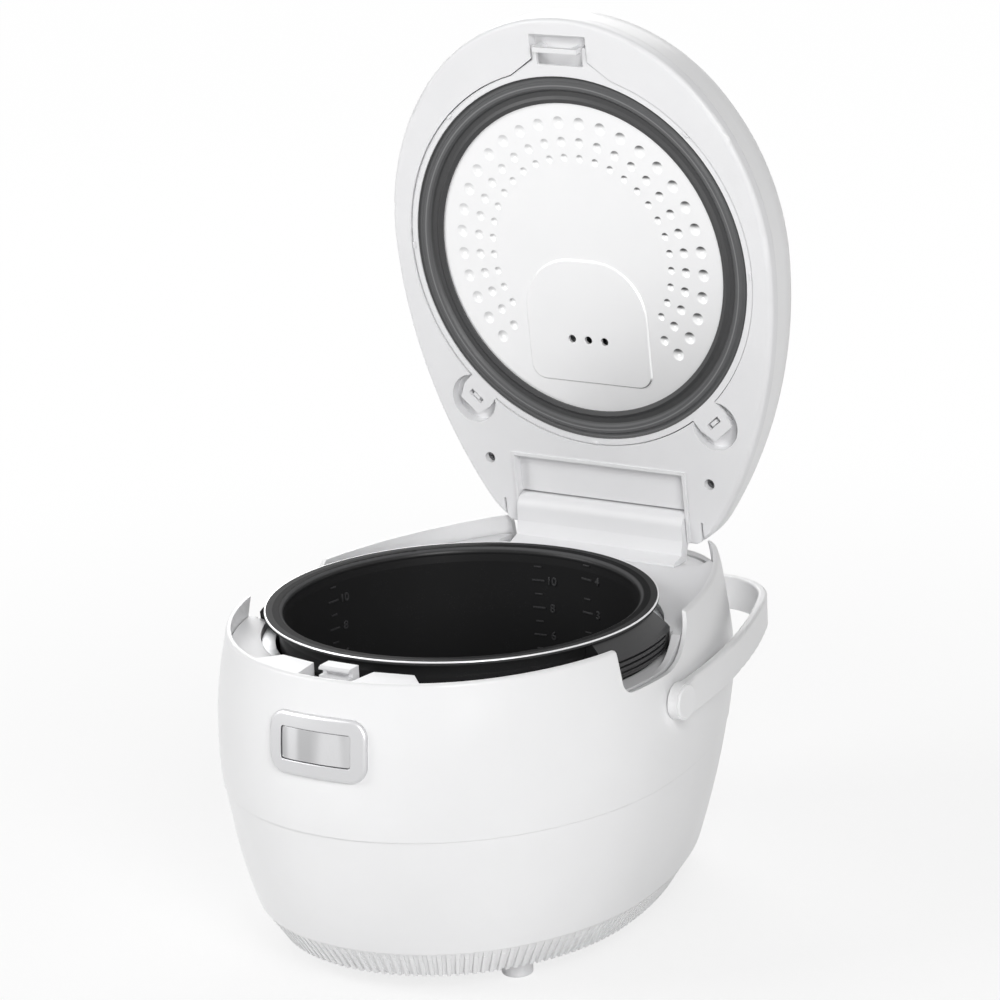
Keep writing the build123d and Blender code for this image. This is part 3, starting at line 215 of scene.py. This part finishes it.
# satin aluminium, blasted fine; painted shade on the upper walls of its dimples, stronger towards the right
plateLook = {"color": (0.93, 0.93, 0.935), "cloud": (0.91, 0.91, 0.915), "hollow": (0.12, 0.12, 0.122),
             "roughness": 0.36, "metal": 0.45, "grain": 0.000002, "grainSize": 0.0004, "cloudSize": 0.03,
             "down": (-0.40, -0.15), "right": (-0.03, 0.07), "strength": (0.25, 0.7), "edge": 0.0008}


def makePlateWhite():
    finish = Finish("plateWhite", plateLook["color"], plateLook["roughness"], plateLook["metal"])
    grain = finish.noise(plateLook["grainSize"], 2.0)
    flow = finish.noise(plateLook["cloudSize"], 3.0)
    ground = finish.paint(flow.rise(0.4, 0.7) * 0.4, plateLook["cloud"])
    x = finish.axis("X")
    down = finish.axis("Z", finish.node("ShaderNodeTexCoord", output="Normal"))
    least, more = plateLook["strength"]
    # painted shade: darker where the surface faces down, more so towards the right
    hollow = (1 - down.rise(*plateLook["down"])) * (least + more * x.rise(*plateLook["right"]))
    finish.paint(hollow, plateLook["hollow"], ground)
    finish.set(Roughness=plateLook["roughness"] - 0.03 + 0.06 * grain)
    finish.relief(grain * plateLook["grain"], plateLook["edge"])
    return finish.material


# silicone seal: radii of its painted bands round the middle of the ring, painted shade inside the lip and in
# the groove, a painted highlight along a thin line between
sealLook = {"color": (0.085, 0.086, 0.088), "dark": (0.03, 0.03, 0.031), "light": (0.24, 0.24, 0.245),
            "roughness": 0.5, "grain": 0.000004, "grainSize": 0.0008, "dustSize": 0.004, "edge": 0.0004,
            "middle": 0.175, "lip": (0.1094, 0.1102), "line": (0.1126, 0.1133),
            "groove": (0.1176, 0.1188), "soft": 0.0004}


def makeSealGrey():
    finish = Finish("sealGrey", sealLook["color"], sealLook["roughness"])
    lid = finish.moved(rotation=(lidAngle, 0, 0), place=finish.moved(location=tuple(-hinge)))
    x, y = finish.axis("X", lid), finish.axis("Y", lid) + sealLook["middle"]
    radius = (x * x + y * y) ** 0.5
    # painted shade: dark inside the lip, next to the plate, and in the groove
    dark = (1 - radius.rise(*sealLook["lip"])).larger(radius.band(*sealLook["groove"], sealLook["soft"]))
    # painted highlight: a thin lighter line between them, mixed below with a little real dust
    line = radius.band(*sealLook["line"], sealLook["soft"])
    dusty = finish.noise(sealLook["dustSize"], 3.0)
    ground = finish.paint(dark * 0.9, sealLook["dark"])
    finish.paint(line * 0.8 + dusty * 0.05, sealLook["light"], ground)
    finish.set(Roughness=sealLook["roughness"] - 0.08 + 0.16 * dusty)
    finish.relief(finish.noise(sealLook["grainSize"], 2.0) * sealLook["grain"], sealLook["edge"])
    return finish.material


# speckled non-stick coating, with bare metal round the outer edge of the rim and a painted highlight round
# its inner lip
potLook = {"color": (0.017, 0.017, 0.0175), "speck": (0.09, 0.09, 0.095), "bare": (0.82, 0.82, 0.83),
           "rim": (0.055, 0.055, 0.056), "lip": (0.095, 0.095, 0.097), "roughness": 0.34,
           "insideCoat": 0.5, "rimCoat": 0.1, "speckSize": 0.0011, "sprinkleSize": 0.02, "hazeSize": 0.03,
           "grain": 0.000004, "grainSize": 0.0005, "edge": 0.0004,
           "rimHeight": (0.2015, 0.2025), "bareHeight": (0.2032, 0.2034), "bareReach": (0.1190, 0.1192),
           "rimReach": (0.1146, 0.1154), "lipReach": (0.1088, 0.1106), "lipSoft": 0.0006}


def makePotCoating():
    finish = Finish("potCoating", potLook["color"], potLook["roughness"])
    x, y, z = finish.axis("X"), finish.axis("Y") - potMiddle.y, finish.axis("Z")
    radius = (x * x + y * y) ** 0.5
    bare = radius.rise(*potLook["bareReach"]) * z.rise(*potLook["bareHeight"])
    upper = z.rise(*potLook["rimHeight"])
    specks = 1 - finish.cells(potLook["speckSize"]).rise(0.12, 0.22)
    sprinkle = finish.noise(potLook["sprinkleSize"], 2.0).rise(0.45, 0.6)
    coat = finish.paint(specks * sprinkle * 0.35, potLook["speck"])
    rim = finish.paint(upper * radius.rise(*potLook["rimReach"]), potLook["rim"], coat)
    # painted highlight: a lighter band round the inner lip of the rim
    lip = finish.paint(upper * radius.band(*potLook["lipReach"], potLook["lipSoft"]), potLook["lip"], rim)
    finish.paint(bare, potLook["bare"], lip)
    haze = finish.noise(potLook["hazeSize"], 3.0)
    less = potLook["insideCoat"] - potLook["rimCoat"]
    finish.set(Roughness=potLook["roughness"] + 0.02 + 0.12 * haze - 0.1 * bare, Metallic=bare,
               Coat_Weight=(potLook["insideCoat"] - less * upper) * (1 - bare),
               Coat_Roughness=potLook["roughness"], Specular_IOR_Level=0.0)
    finish.relief(finish.noise(potLook["grainSize"], 2.0) * potLook["grain"], potLook["edge"])
    return finish.material


# the pressed marks keep a little more light than the coating round them
markLook = {"color": (0.04, 0.04, 0.042), "worn": (0.022, 0.022, 0.023), "roughness": 0.42,
            "wearSize": 0.0012, "wear": 0.00001, "edge": 0.0001}


def makePotMarks():
    finish = Finish("potMarks", markLook["color"], markLook["roughness"])
    worn = finish.noise(markLook["wearSize"], 3.0)
    finish.paint(worn.rise(0.45, 0.62) * 0.8, markLook["worn"])
    finish.set(Roughness=markLook["roughness"] - 0.04 + 0.12 * worn)
    finish.relief(worn * markLook["wear"], markLook["edge"])
    return finish.material


# black phenolic of the pot's handles
gripLook = {"color": (0.018, 0.018, 0.019), "pale": (0.026, 0.026, 0.027), "roughness": 0.42,
            "paleSize": 0.02, "grain": 0.000012, "grainSize": 0.0007, "edge": 0.0006}


def makeGripBlack():
    finish = Finish("gripBlack", gripLook["color"], gripLook["roughness"])
    grain = finish.noise(gripLook["grainSize"], 3.0)
    finish.paint(finish.noise(gripLook["paleSize"]).rise(0.4, 0.7) * 0.5, gripLook["pale"])
    finish.set(Roughness=gripLook["roughness"] - 0.06 + 0.16 * grain)
    finish.relief(grain * gripLook["grain"], gripLook["edge"])
    return finish.material


# plated plastic of the button's frame
trimLook = {"color": (0.68, 0.68, 0.69), "haze": (0.62, 0.62, 0.63), "roughness": 0.26, "metal": 0.9,
            "hazeSize": 0.01, "grain": 0.000002, "grainSize": 0.0006, "edge": 0.0008}


def makeSilverTrim():
    finish = Finish("silverTrim", trimLook["color"], trimLook["roughness"], trimLook["metal"])
    haze = finish.noise(trimLook["hazeSize"], 3.0)
    finish.paint(haze * 0.3, trimLook["haze"])
    finish.set(Roughness=trimLook["roughness"] + 0.01 + 0.08 * haze)
    finish.relief(finish.noise(trimLook["grainSize"]) * trimLook["grain"], trimLook["edge"])
    return finish.material


# brushed metal: noise stretched along the strokes, over broad bands of painted reflection, darker across them
brushLook = {"wideSize": 0.016, "wideShade": 0.55, "streakShade": 0.72, "groove": 0.000012, "edge": 0.0004}


def makeBrushed(name, color, rough, along=(60.0, 1.0, 1.0), size=0.0004, depth=0.5, sheen=0.0):
    finish = Finish(name, color, rough, 1.0)
    stretched = finish.moved(scale=tuple(1 / a for a in along))
    streak = finish.noise(size, 3.0, 0.6, stretched)
    wide = finish.noise(brushLook["wideSize"], 1.0, 0.5, stretched)
    # painted reflection: broad darker bands across the strokes, by the share sheen
    ground = finish.paint(wide.rise(0.38, 0.62) * sheen, tuple(brushLook["wideShade"] * c for c in color))
    finish.paint(streak.rise(0.3, 0.75) * depth, tuple(brushLook["streakShade"] * c for c in color), ground)
    finish.set(Roughness=rough - 0.06 * depth + 0.14 * depth * streak)
    finish.relief(streak * (brushLook["groove"] * depth), brushLook["edge"])
    return finish.material


# plain moulded plastic with a fine grain
plainLook = {"shade": 0.9, "shadeSize": 0.02, "edge": 0.0005}


def makePlainPlastic(name, color, rough, grainSize=0.0007, grain=0.000008):
    finish = Finish(name, color, rough)
    texture = finish.noise(grainSize, 3.0)
    pale = finish.noise(plainLook["shadeSize"]).rise(0.4, 0.7)
    finish.paint(pale * 0.5, tuple(plainLook["shade"] * c for c in color))
    finish.set(Roughness=rough - 0.05 + 0.1 * texture)
    finish.relief(texture * grain, plainLook["edge"])
    return finish.material


# rolled or cast metal, cloudy in spots
sheetLook = {"shade": 0.8, "grain": 0.000004, "grainSize": 0.001, "edge": 0.0004}


def makeSheetMetal(name, color, rough, spots=0.012):
    finish = Finish(name, color, rough, 1.0)
    rolled = finish.noise(spots, 4.0, 0.6)
    finish.paint(rolled.rise(0.35, 0.65) * 0.6, tuple(sheetLook["shade"] * c for c in color))
    finish.set(Roughness=rough - 0.08 + 0.2 * rolled)
    finish.relief(finish.noise(sheetLook["grainSize"]) * sheetLook["grain"], sheetLook["edge"])
    return finish.material


# clear window over the display, faintly smeared
windowLook = {"color": (0.05, 0.052, 0.055), "roughness": 0.08, "alpha": 0.62, "smearSize": 0.012,
              "edge": 0.0002}


def makeWindowTint():
    finish = Finish("windowTint", windowLook["color"], windowLook["roughness"])
    smear = finish.noise(windowLook["smearSize"], 2.0)
    finish.set(Roughness=windowLook["roughness"] - 0.03 + 0.06 * smear, Alpha=windowLook["alpha"])
    finish.relief(None, windowLook["edge"])
    return finish.material


finishes = {
    "shell_white": makeShellWhite(),
    "inner_white": makeInnerWhite(),
    "plate_white": makePlateWhite(),
    "seal_grey": makeSealGrey(),
    "pot_coating": makePotCoating(),
    "grip_black": makeGripBlack(),
    "silver_trim": makeSilverTrim(),
    # the button's metal carries broad bands of painted reflection
    "button_metal": makeBrushed("buttonMetal", (0.7, 0.7, 0.71), 0.34, (1.0, 1.0, 40.0), 0.0003, depth=0.16,
                                sheen=0.7),
    "steel": makeBrushed("steel", (0.56, 0.56, 0.58), 0.3, (1.0, 1.0, 8.0)),
    "foot_grey": makePlainPlastic("footGrey", (0.8, 0.8, 0.81), 0.5),
    "floor_grey": makePlainPlastic("floorGrey", (0.6, 0.6, 0.61), 0.55),
    "well_metal": makeSheetMetal("wellMetal", (0.62, 0.63, 0.64), 0.34),
    "cast_aluminium": makeSheetMetal("castAluminium", (0.56, 0.57, 0.58), 0.42, 0.004),
    "element_dark": makeSheetMetal("elementDark", (0.22, 0.21, 0.2), 0.45, 0.006),
    "heater_band": makePlainPlastic("heaterBand", (0.7, 0.66, 0.58), 0.8, 0.0015, 0.00006),
    "board_green": makePlainPlastic("boardGreen", (0.03, 0.18, 0.085), 0.35),
    "pin_brass": makeSheetMetal("pinBrass", (0.72, 0.56, 0.27), 0.25),
    "panel_grey": makePlainPlastic("panelGrey", (0.7, 0.7, 0.715), 0.28),
    "window_tint": makeWindowTint(),
    "display_grey": makePlainPlastic("displayGrey", (0.36, 0.42, 0.38), 0.35),
    "key_light": makePlainPlastic("keyLight", (0.8, 0.8, 0.81), 0.35),
}
screwSteel = makeSheetMetal("screwSteel", (0.2, 0.2, 0.205), 0.4, 0.003)   # darker steel, for the screws in the lid's face


def dress(piece, material):
    piece.data.materials.clear()
    piece.data.materials.append(material)


for name, node in nodes.items():
    dress(node, screwSteel if name == "lid_screws" else finishes[slotOf[name]])
print("finishes given to", len(nodes), "nodes")


# the pieces made here are shaped flat or upright, then set in their place
def clearSelection():
    if bpy.context.object and bpy.context.object.mode != "OBJECT":
        bpy.ops.object.mode_set(mode="OBJECT")
    bpy.ops.object.select_all(action="DESELECT")


# moves the vertices themselves, so that the object stays at the origin
def settle(piece):
    bpy.ops.object.transform_apply(location=True, rotation=True, scale=True)
    piece.data.update()


def bevelled(piece, width):
    bevel = piece.modifiers.new("edges", "BEVEL")
    bevel.width = width
    bevel.segments = 2
    bevel.limit_method = "ANGLE"
    bpy.ops.object.modifier_apply(modifier="edges")


# draws a second outline inside the upper face, then sinks or lifts what it holds
def insetTop(piece, thickness, depth=0.0):
    bpy.ops.object.mode_set(mode="EDIT")
    bpy.ops.mesh.select_all(action="DESELECT")
    sheet = bmesh.from_edit_mesh(piece.data)
    for face in sheet.faces:
        face.select = face.normal.z > 0.9
    bmesh.update_edit_mesh(piece.data)
    bpy.ops.mesh.inset(thickness=thickness, depth=depth)
    bpy.ops.object.mode_set(mode="OBJECT")


def copied(piece):
    twin = piece.copy()
    twin.data = piece.data.copy()
    bpy.context.scene.collection.objects.link(twin)
    return twin


def joined(pieces, name):
    clearSelection()
    for piece in pieces:
        piece.select_set(True)
    bpy.context.view_layer.objects.active = pieces[0]
    bpy.ops.object.join()
    whole = bpy.context.object
    whole.name = name
    return whole


rimShare = 0.12   # of a bar's width, inset round its upper face


def bar(size, middle=(0, 0, 0), edge=0.0001):
    clearSelection()
    bpy.ops.mesh.primitive_cube_add(size=1, location=middle, scale=size)
    made = bpy.context.object
    settle(made)
    insetTop(made, min(size[0], size[1]) * rimShare)
    bevelled(made, edge)
    return made


digitShape = {"capital": 0.7, "bevel": 0.2}   # shares of the letter size and of the thickness


def digits(text, height, thick, middle=(0, 0, 0)):
    clearSelection()
    bpy.ops.object.text_add(location=(0, 0, 0))
    written = bpy.context.object
    written.data.body = text
    written.data.size = height / digitShape["capital"]
    written.data.extrude = thick / 2
    written.data.bevel_depth = thick * digitShape["bevel"]
    written.data.align_x = "CENTER"
    written.data.align_y = "CENTER"
    bpy.ops.object.convert(target="MESH")
    made = bpy.context.object
    made.location = middle
    settle(made)
    return made


# water marks pressed into the wall of the pot: height of each line above the floor, in metres
potScale = {
    "radius": 0.1075, "proud": 0.00035, "line": (0.0085, 0.0011), "digit": 0.0052, "digitAside": 0.0095,
    "between": (0.6, 0.8), "betweenRise": 0.009,
    "main": {"bearing": 96.0, "heights": {"2": 0.112, "4": 0.130, "6": 0.148, "8": 0.166, "10": 0.184}},
    "side": {"bearing": 76.0, "heights": {"1": 0.124, "2": 0.146, "3": 0.168, "4": 0.190}},
    "left": {"bearing": 171.0, "heights": {"2": 0.112, "4": 0.130, "6": 0.148, "8": 0.166, "10": 0.184}},
}


# wraps a flat piece, drawn with its face towards +Z, round the inside of the wall
def wrapOnWall(piece, bearing, height):
    for vertex in piece.data.vertices:
        x, y, z = vertex.co
        angle = math.radians(bearing) - x / potScale["radius"]
        reach = potScale["radius"] - z
        vertex.co = (potMiddle.x + reach * math.cos(angle), potMiddle.y + reach * math.sin(angle), height + y)
    piece.data.update()


# a numbered line at each height, and a shorter line above it
def makePotScale():
    thick = 2 * potScale["proud"]
    length, width = potScale["line"]
    shorter, thinner = potScale["between"]
    marks = []
    for column in ("main", "side", "left"):
        setup = potScale[column]
        for text, height in setup["heights"].items():
            flat = [bar((length, width, thick)),
                    digits(text, potScale["digit"], thick, (potScale["digitAside"], 0, 0)),
                    bar((shorter * length, thinner * width, thick), (0, potScale["betweenRise"], 0))]
            for piece in flat:
                wrapOnWall(piece, setup["bearing"], height)
                marks.append(piece)
    scale = joined(marks, "pot_level_marks")
    dress(scale, makePotMarks())
    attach(scale, "pot")


# lugs on the edge of the inner lid's ring, where its tool parted; with the lid shut they stand over the pot
ringLugs = {"bearings": (180.0, -134.0, -46.0, 90.0, 0.0), "reach": 0.1222, "size": (0.0042, 0.0016, 0.0011),
            "edge": 0.0004, "height": 0.2036}


def makeRingLugs():
    first = bar(ringLugs["size"], (0, ringLugs["reach"], 0), ringLugs["edge"])
    lugs = [first, *(copied(first) for bearing in ringLugs["bearings"][1:])]
    shut = Matrix.Translation(potMiddle + Vector((0, 0, ringLugs["height"])))
    for lug, bearing in zip(lugs, ringLugs["bearings"]):
        lug.data.transform(lidTurn @ shut @ Matrix.Rotation(math.radians(bearing - 90), 4, "Z"))
    whole = joined(lugs, "ring_lugs")
    dress(whole, finishes["inner_white"])
    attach(whole, "inner_lid")


# control panel: its plane touches the crown of the closed lid
panel = {"middle": (0, -0.1076, 0.25062), "tilt": 4.3, "window": (0, 0.012), "lcdTop": -0.0023,
         "keyTop": -0.0001}
panelTilt = Matrix.Rotation(math.radians(panel["tilt"]), 4, "X")
panelPlace = lidTurn @ Matrix.Translation(panel["middle"]) @ panelTilt
display = {"digit": (0.0062, 0.0115), "segment": 0.0011, "corner": 1.3, "pitch": 0.0094, "text": "12:00",
           "thick": 0.00016, "edge": 0.00003, "color": (0.03, 0.032, 0.03), "roughness": 0.5}
segmentsOf = {"0": "abcdef", "1": "bc", "2": "abged", "3": "abgcd", "4": "fgbc", "5": "afgcd",
              "6": "afgedc", "7": "abc", "8": "abcdefg", "9": "abcdfg"}


# each sign from its segments, lettered clockwise from the top one, with g across the middle
def makeDisplayDigits():
    wide, tall = display["digit"]
    thick = display["segment"]
    spots = {"a": (0, tall / 2, 0), "g": (0, 0, 0), "d": (0, -tall / 2, 0), "b": (wide / 2, tall / 4, 1),
             "c": (wide / 2, -tall / 4, 1), "e": (-wide / 2, -tall / 4, 1), "f": (-wide / 2, tall / 4, 1)}
    middle, level = panel["window"]
    made = []

    def mark(width, height, x, rise):
        made.append(bar((width, height, display["thick"]), (x, level + rise, panel["lcdTop"]),
                        display["edge"]))

    for place, sign in enumerate(display["text"]):
        x = middle + (place - (len(display["text"]) - 1) / 2) * display["pitch"]
        if sign == ":":
            mark(thick, thick, x, -tall / 5)
            mark(thick, thick, x, tall / 5)
            continue
        for segment in segmentsOf[sign]:
            across, rise, upright = spots[segment]
            length = (tall / 2 if upright else wide) - display["corner"] * thick
            mark(*((thick, length) if upright else (length, thick)), x + across, rise)
    shown = joined(made, "display_digits")
    shown.data.transform(panelPlace)
    dress(shown, makePlainPlastic("displayDark", display["color"], display["roughness"]))
    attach(shown, "lid")


# plain signs on the keys, each a low raised shape of bars or corners, in metres from the panel's middle
keySigns = {
    "start": {"place": (0.040, -0.014), "corners": 3, "radius": 0.0042, "turn": 30},
    "cancel": {"place": (-0.040, -0.014), "corners": 4, "radius": 0.0042, "turn": 45},
    "up": {"place": (0.043, 0.014), "corners": 3, "radius": 0.0026, "turn": 0},
    "down": {"place": (-0.043, 0.014), "corners": 3, "radius": 0.0026, "turn": 180},
    "menu": {"place": (0.0, -0.020), "bars": 3, "length": 0.006, "pitch": 0.0019, "width": 0.0007},
}
signLook = {"proud": 0.00022, "edge": 0.00006, "rim": 0.35, "sunk": 0.8, "color": (0.2, 0.205, 0.215),
            "roughness": 0.45}


def makeKeySigns():
    ink = makePlainPlastic("signInk", signLook["color"], signLook["roughness"])
    proud = signLook["proud"]
    for key, sign in keySigns.items():
        name = key + "_sign"
        if "bars" in sign:
            size = (sign["length"], sign["width"], 2 * proud)
            made = joined([bar(size, (0, (row - 1) * sign["pitch"], 0), signLook["edge"])
                           for row in range(sign["bars"])], name)
        else:
            clearSelection()
            bpy.ops.mesh.primitive_cylinder_add(vertices=sign["corners"], radius=sign["radius"],
                                                depth=2 * proud, rotation=(0, 0, math.radians(sign["turn"])))
            made = bpy.context.object
            made.name = name
            settle(made)
            insetTop(made, signLook["rim"] * sign["radius"], -signLook["sunk"] * proud)
            bevelled(made, signLook["edge"])
        made.data.transform(panelPlace @ Matrix.Translation((*sign["place"], panel["keyTop"])))
        dress(made, ink)
        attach(made, key)


# return springs, each remade from its part, welded at its corners and smoothed, in place of the part
springs = {
    "latch_spring": {"joint": "button_press", "axis": (0, 1, 0), "anchor": (0, -0.1397, 0.16),
                     "keep": 0.84},
    "sensor_spring": {"joint": "sensor_press", "axis": (0, 0, 1), "anchor": (0, -0.0246, 0.04),
                      "keep": 0.845},
}
springWeld = 0.000005   # corners nearer than this become one
springSmooth = math.radians(40)


def makeSprings():
    for name, spring in springs.items():
        coil = bpy.data.objects.new(name + "_coil", nodes[name].data.copy())
        bpy.context.scene.collection.objects.link(coil)
        clearSelection()
        coil.select_set(True)
        bpy.context.view_layer.objects.active = coil
        bpy.ops.object.mode_set(mode="EDIT")
        bpy.ops.mesh.select_all(action="SELECT")
        bpy.ops.mesh.remove_doubles(threshold=springWeld)
        bpy.ops.mesh.normals_make_consistent(inside=False)
        bpy.ops.object.mode_set(mode="OBJECT")
        bpy.ops.object.shade_smooth_by_angle(angle=springSmooth)
        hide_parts(name)
        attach(coil, "base")
        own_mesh(coil)


makePotScale()
makeRingLugs()
makeSprings()
makeDisplayDigits()
makeKeySigns()
print("scale, lugs, digits and signs made")


cameraSetup = {"place": (1.3267, -2.0584, 0.9697), "azimuth": 32.5, "elevation": 16.17, "roll": -2.6,
               "lens": 150.98, "sensor": 36.0, "clip": (0.05, 60)}


def makeCamera():
    azimuth, elevation, roll = (math.radians(cameraSetup[k]) for k in ("azimuth", "elevation", "roll"))
    ahead = Vector((-math.sin(azimuth) * math.cos(elevation), math.cos(azimuth) * math.cos(elevation),
                    -math.sin(elevation)))
    right = Vector((math.cos(azimuth), math.sin(azimuth), 0))
    up = right.cross(ahead)
    side = right * math.cos(roll) + up * math.sin(roll)
    top = up * math.cos(roll) - right * math.sin(roll)
    data = bpy.data.cameras.new("camera")
    data.lens = cameraSetup["lens"]
    data.sensor_width = cameraSetup["sensor"]
    data.clip_start, data.clip_end = cameraSetup["clip"]
    camera = bpy.data.objects.new("camera", data)
    bpy.context.scene.collection.objects.link(camera)
    turn = Matrix((side, top, -ahead)).transposed().to_4x4()
    camera.matrix_world = Matrix.Translation(cameraSetup["place"]) @ turn
    bpy.context.scene.camera = camera


# softboxes around the cooker: bearing from the front towards the right, height angle, distance, strength
lamps = {
    "softboxLeft": {"bearing": -50, "rise": 28, "distance": 2.3, "size": (1.0, 1.5), "power": 26.5},
    "softboxRight": {"bearing": 47, "rise": 26, "distance": 2.4, "size": (0.9, 1.5), "power": 39.5},
    "backlight": {"bearing": 200, "rise": 45, "distance": 2.2, "size": (1.2, 1.2), "power": 14.0},
    "backFill": {"bearing": 222, "rise": 22, "distance": 2.4, "size": (1.2, 1.4), "power": 14.0},
}
lampAim = Vector((0.0, 0.0, 0.22))


def makeLamps():
    for name, setup in lamps.items():
        data = bpy.data.lights.new(name, "AREA")
        data.shape = "RECTANGLE"
        data.size, data.size_y = setup["size"]
        data.energy = setup["power"]
        lamp = bpy.data.objects.new(name, data)
        bpy.context.scene.collection.objects.link(lamp)
        bearing, rise = math.radians(setup["bearing"]), math.radians(setup["rise"])
        away = Vector((math.sin(bearing) * math.cos(rise), -math.cos(bearing) * math.cos(rise),
                       math.sin(rise)))
        lamp.location = lampAim + setup["distance"] * away
        lamp.rotation_euler = (-away).to_track_quat("-Z", "Y").to_euler()


# seen itself the world is white, and as a light it only fills a little
worldLook = {"fill": 0.04, "white": 1.0}


def makeWorld():
    world = bpy.data.worlds.new("studio")
    bpy.context.scene.world = world
    world.use_nodes = True
    sky = Nodes(world.node_tree)
    fill, white = worldLook["fill"], worldLook["white"]
    sockets = sky.tree.nodes["Background"].inputs
    sky.feed(sockets["Color"], (1, 1, 1, 1))
    sky.feed(sockets["Strength"], fill + (white - fill) * sky.seen())


# white ground that only shows the shadow near the cooker: share of glow there and far off
floorLook = {"size": 24, "color": (0.9, 0.9, 0.9), "roughness": 0.9, "fade": (0.25, 1.1),
             "glow": (0.78, 0.995)}


def makeFloor():
    bpy.ops.mesh.primitive_plane_add(size=floorLook["size"], location=(0, 0, 0))
    floor = bpy.context.object
    floor.name = "studioFloor"
    ground = Finish("paleFloor", floorLook["color"], floorLook["roughness"])
    ground.set(Specular_IOR_Level=0.0)
    near, far = floorLook["glow"]
    away = ground.node("ShaderNodeVectorMath", {"operation": "LENGTH"}, {0: ground.place}, "Value")
    share = ground.seen() * (near + (far - near) * away.rise(*floorLook["fade"]))
    glow = ground.node("ShaderNodeEmission", None, {"Strength": 1.0})
    plain = Wire(ground, ground.shader.outputs[0])
    both = ground.node("ShaderNodeMixShader", None, {0: share, 1: plain, 2: glow})
    ground.feed(ground.tree.nodes["Material Output"].inputs["Surface"], both)
    floor.data.materials.append(ground.material)


makeCamera()
makeLamps()
makeWorld()
makeFloor()
bpy.context.scene.view_settings.view_transform = "Standard"
print("camera, lamps and floor stand")
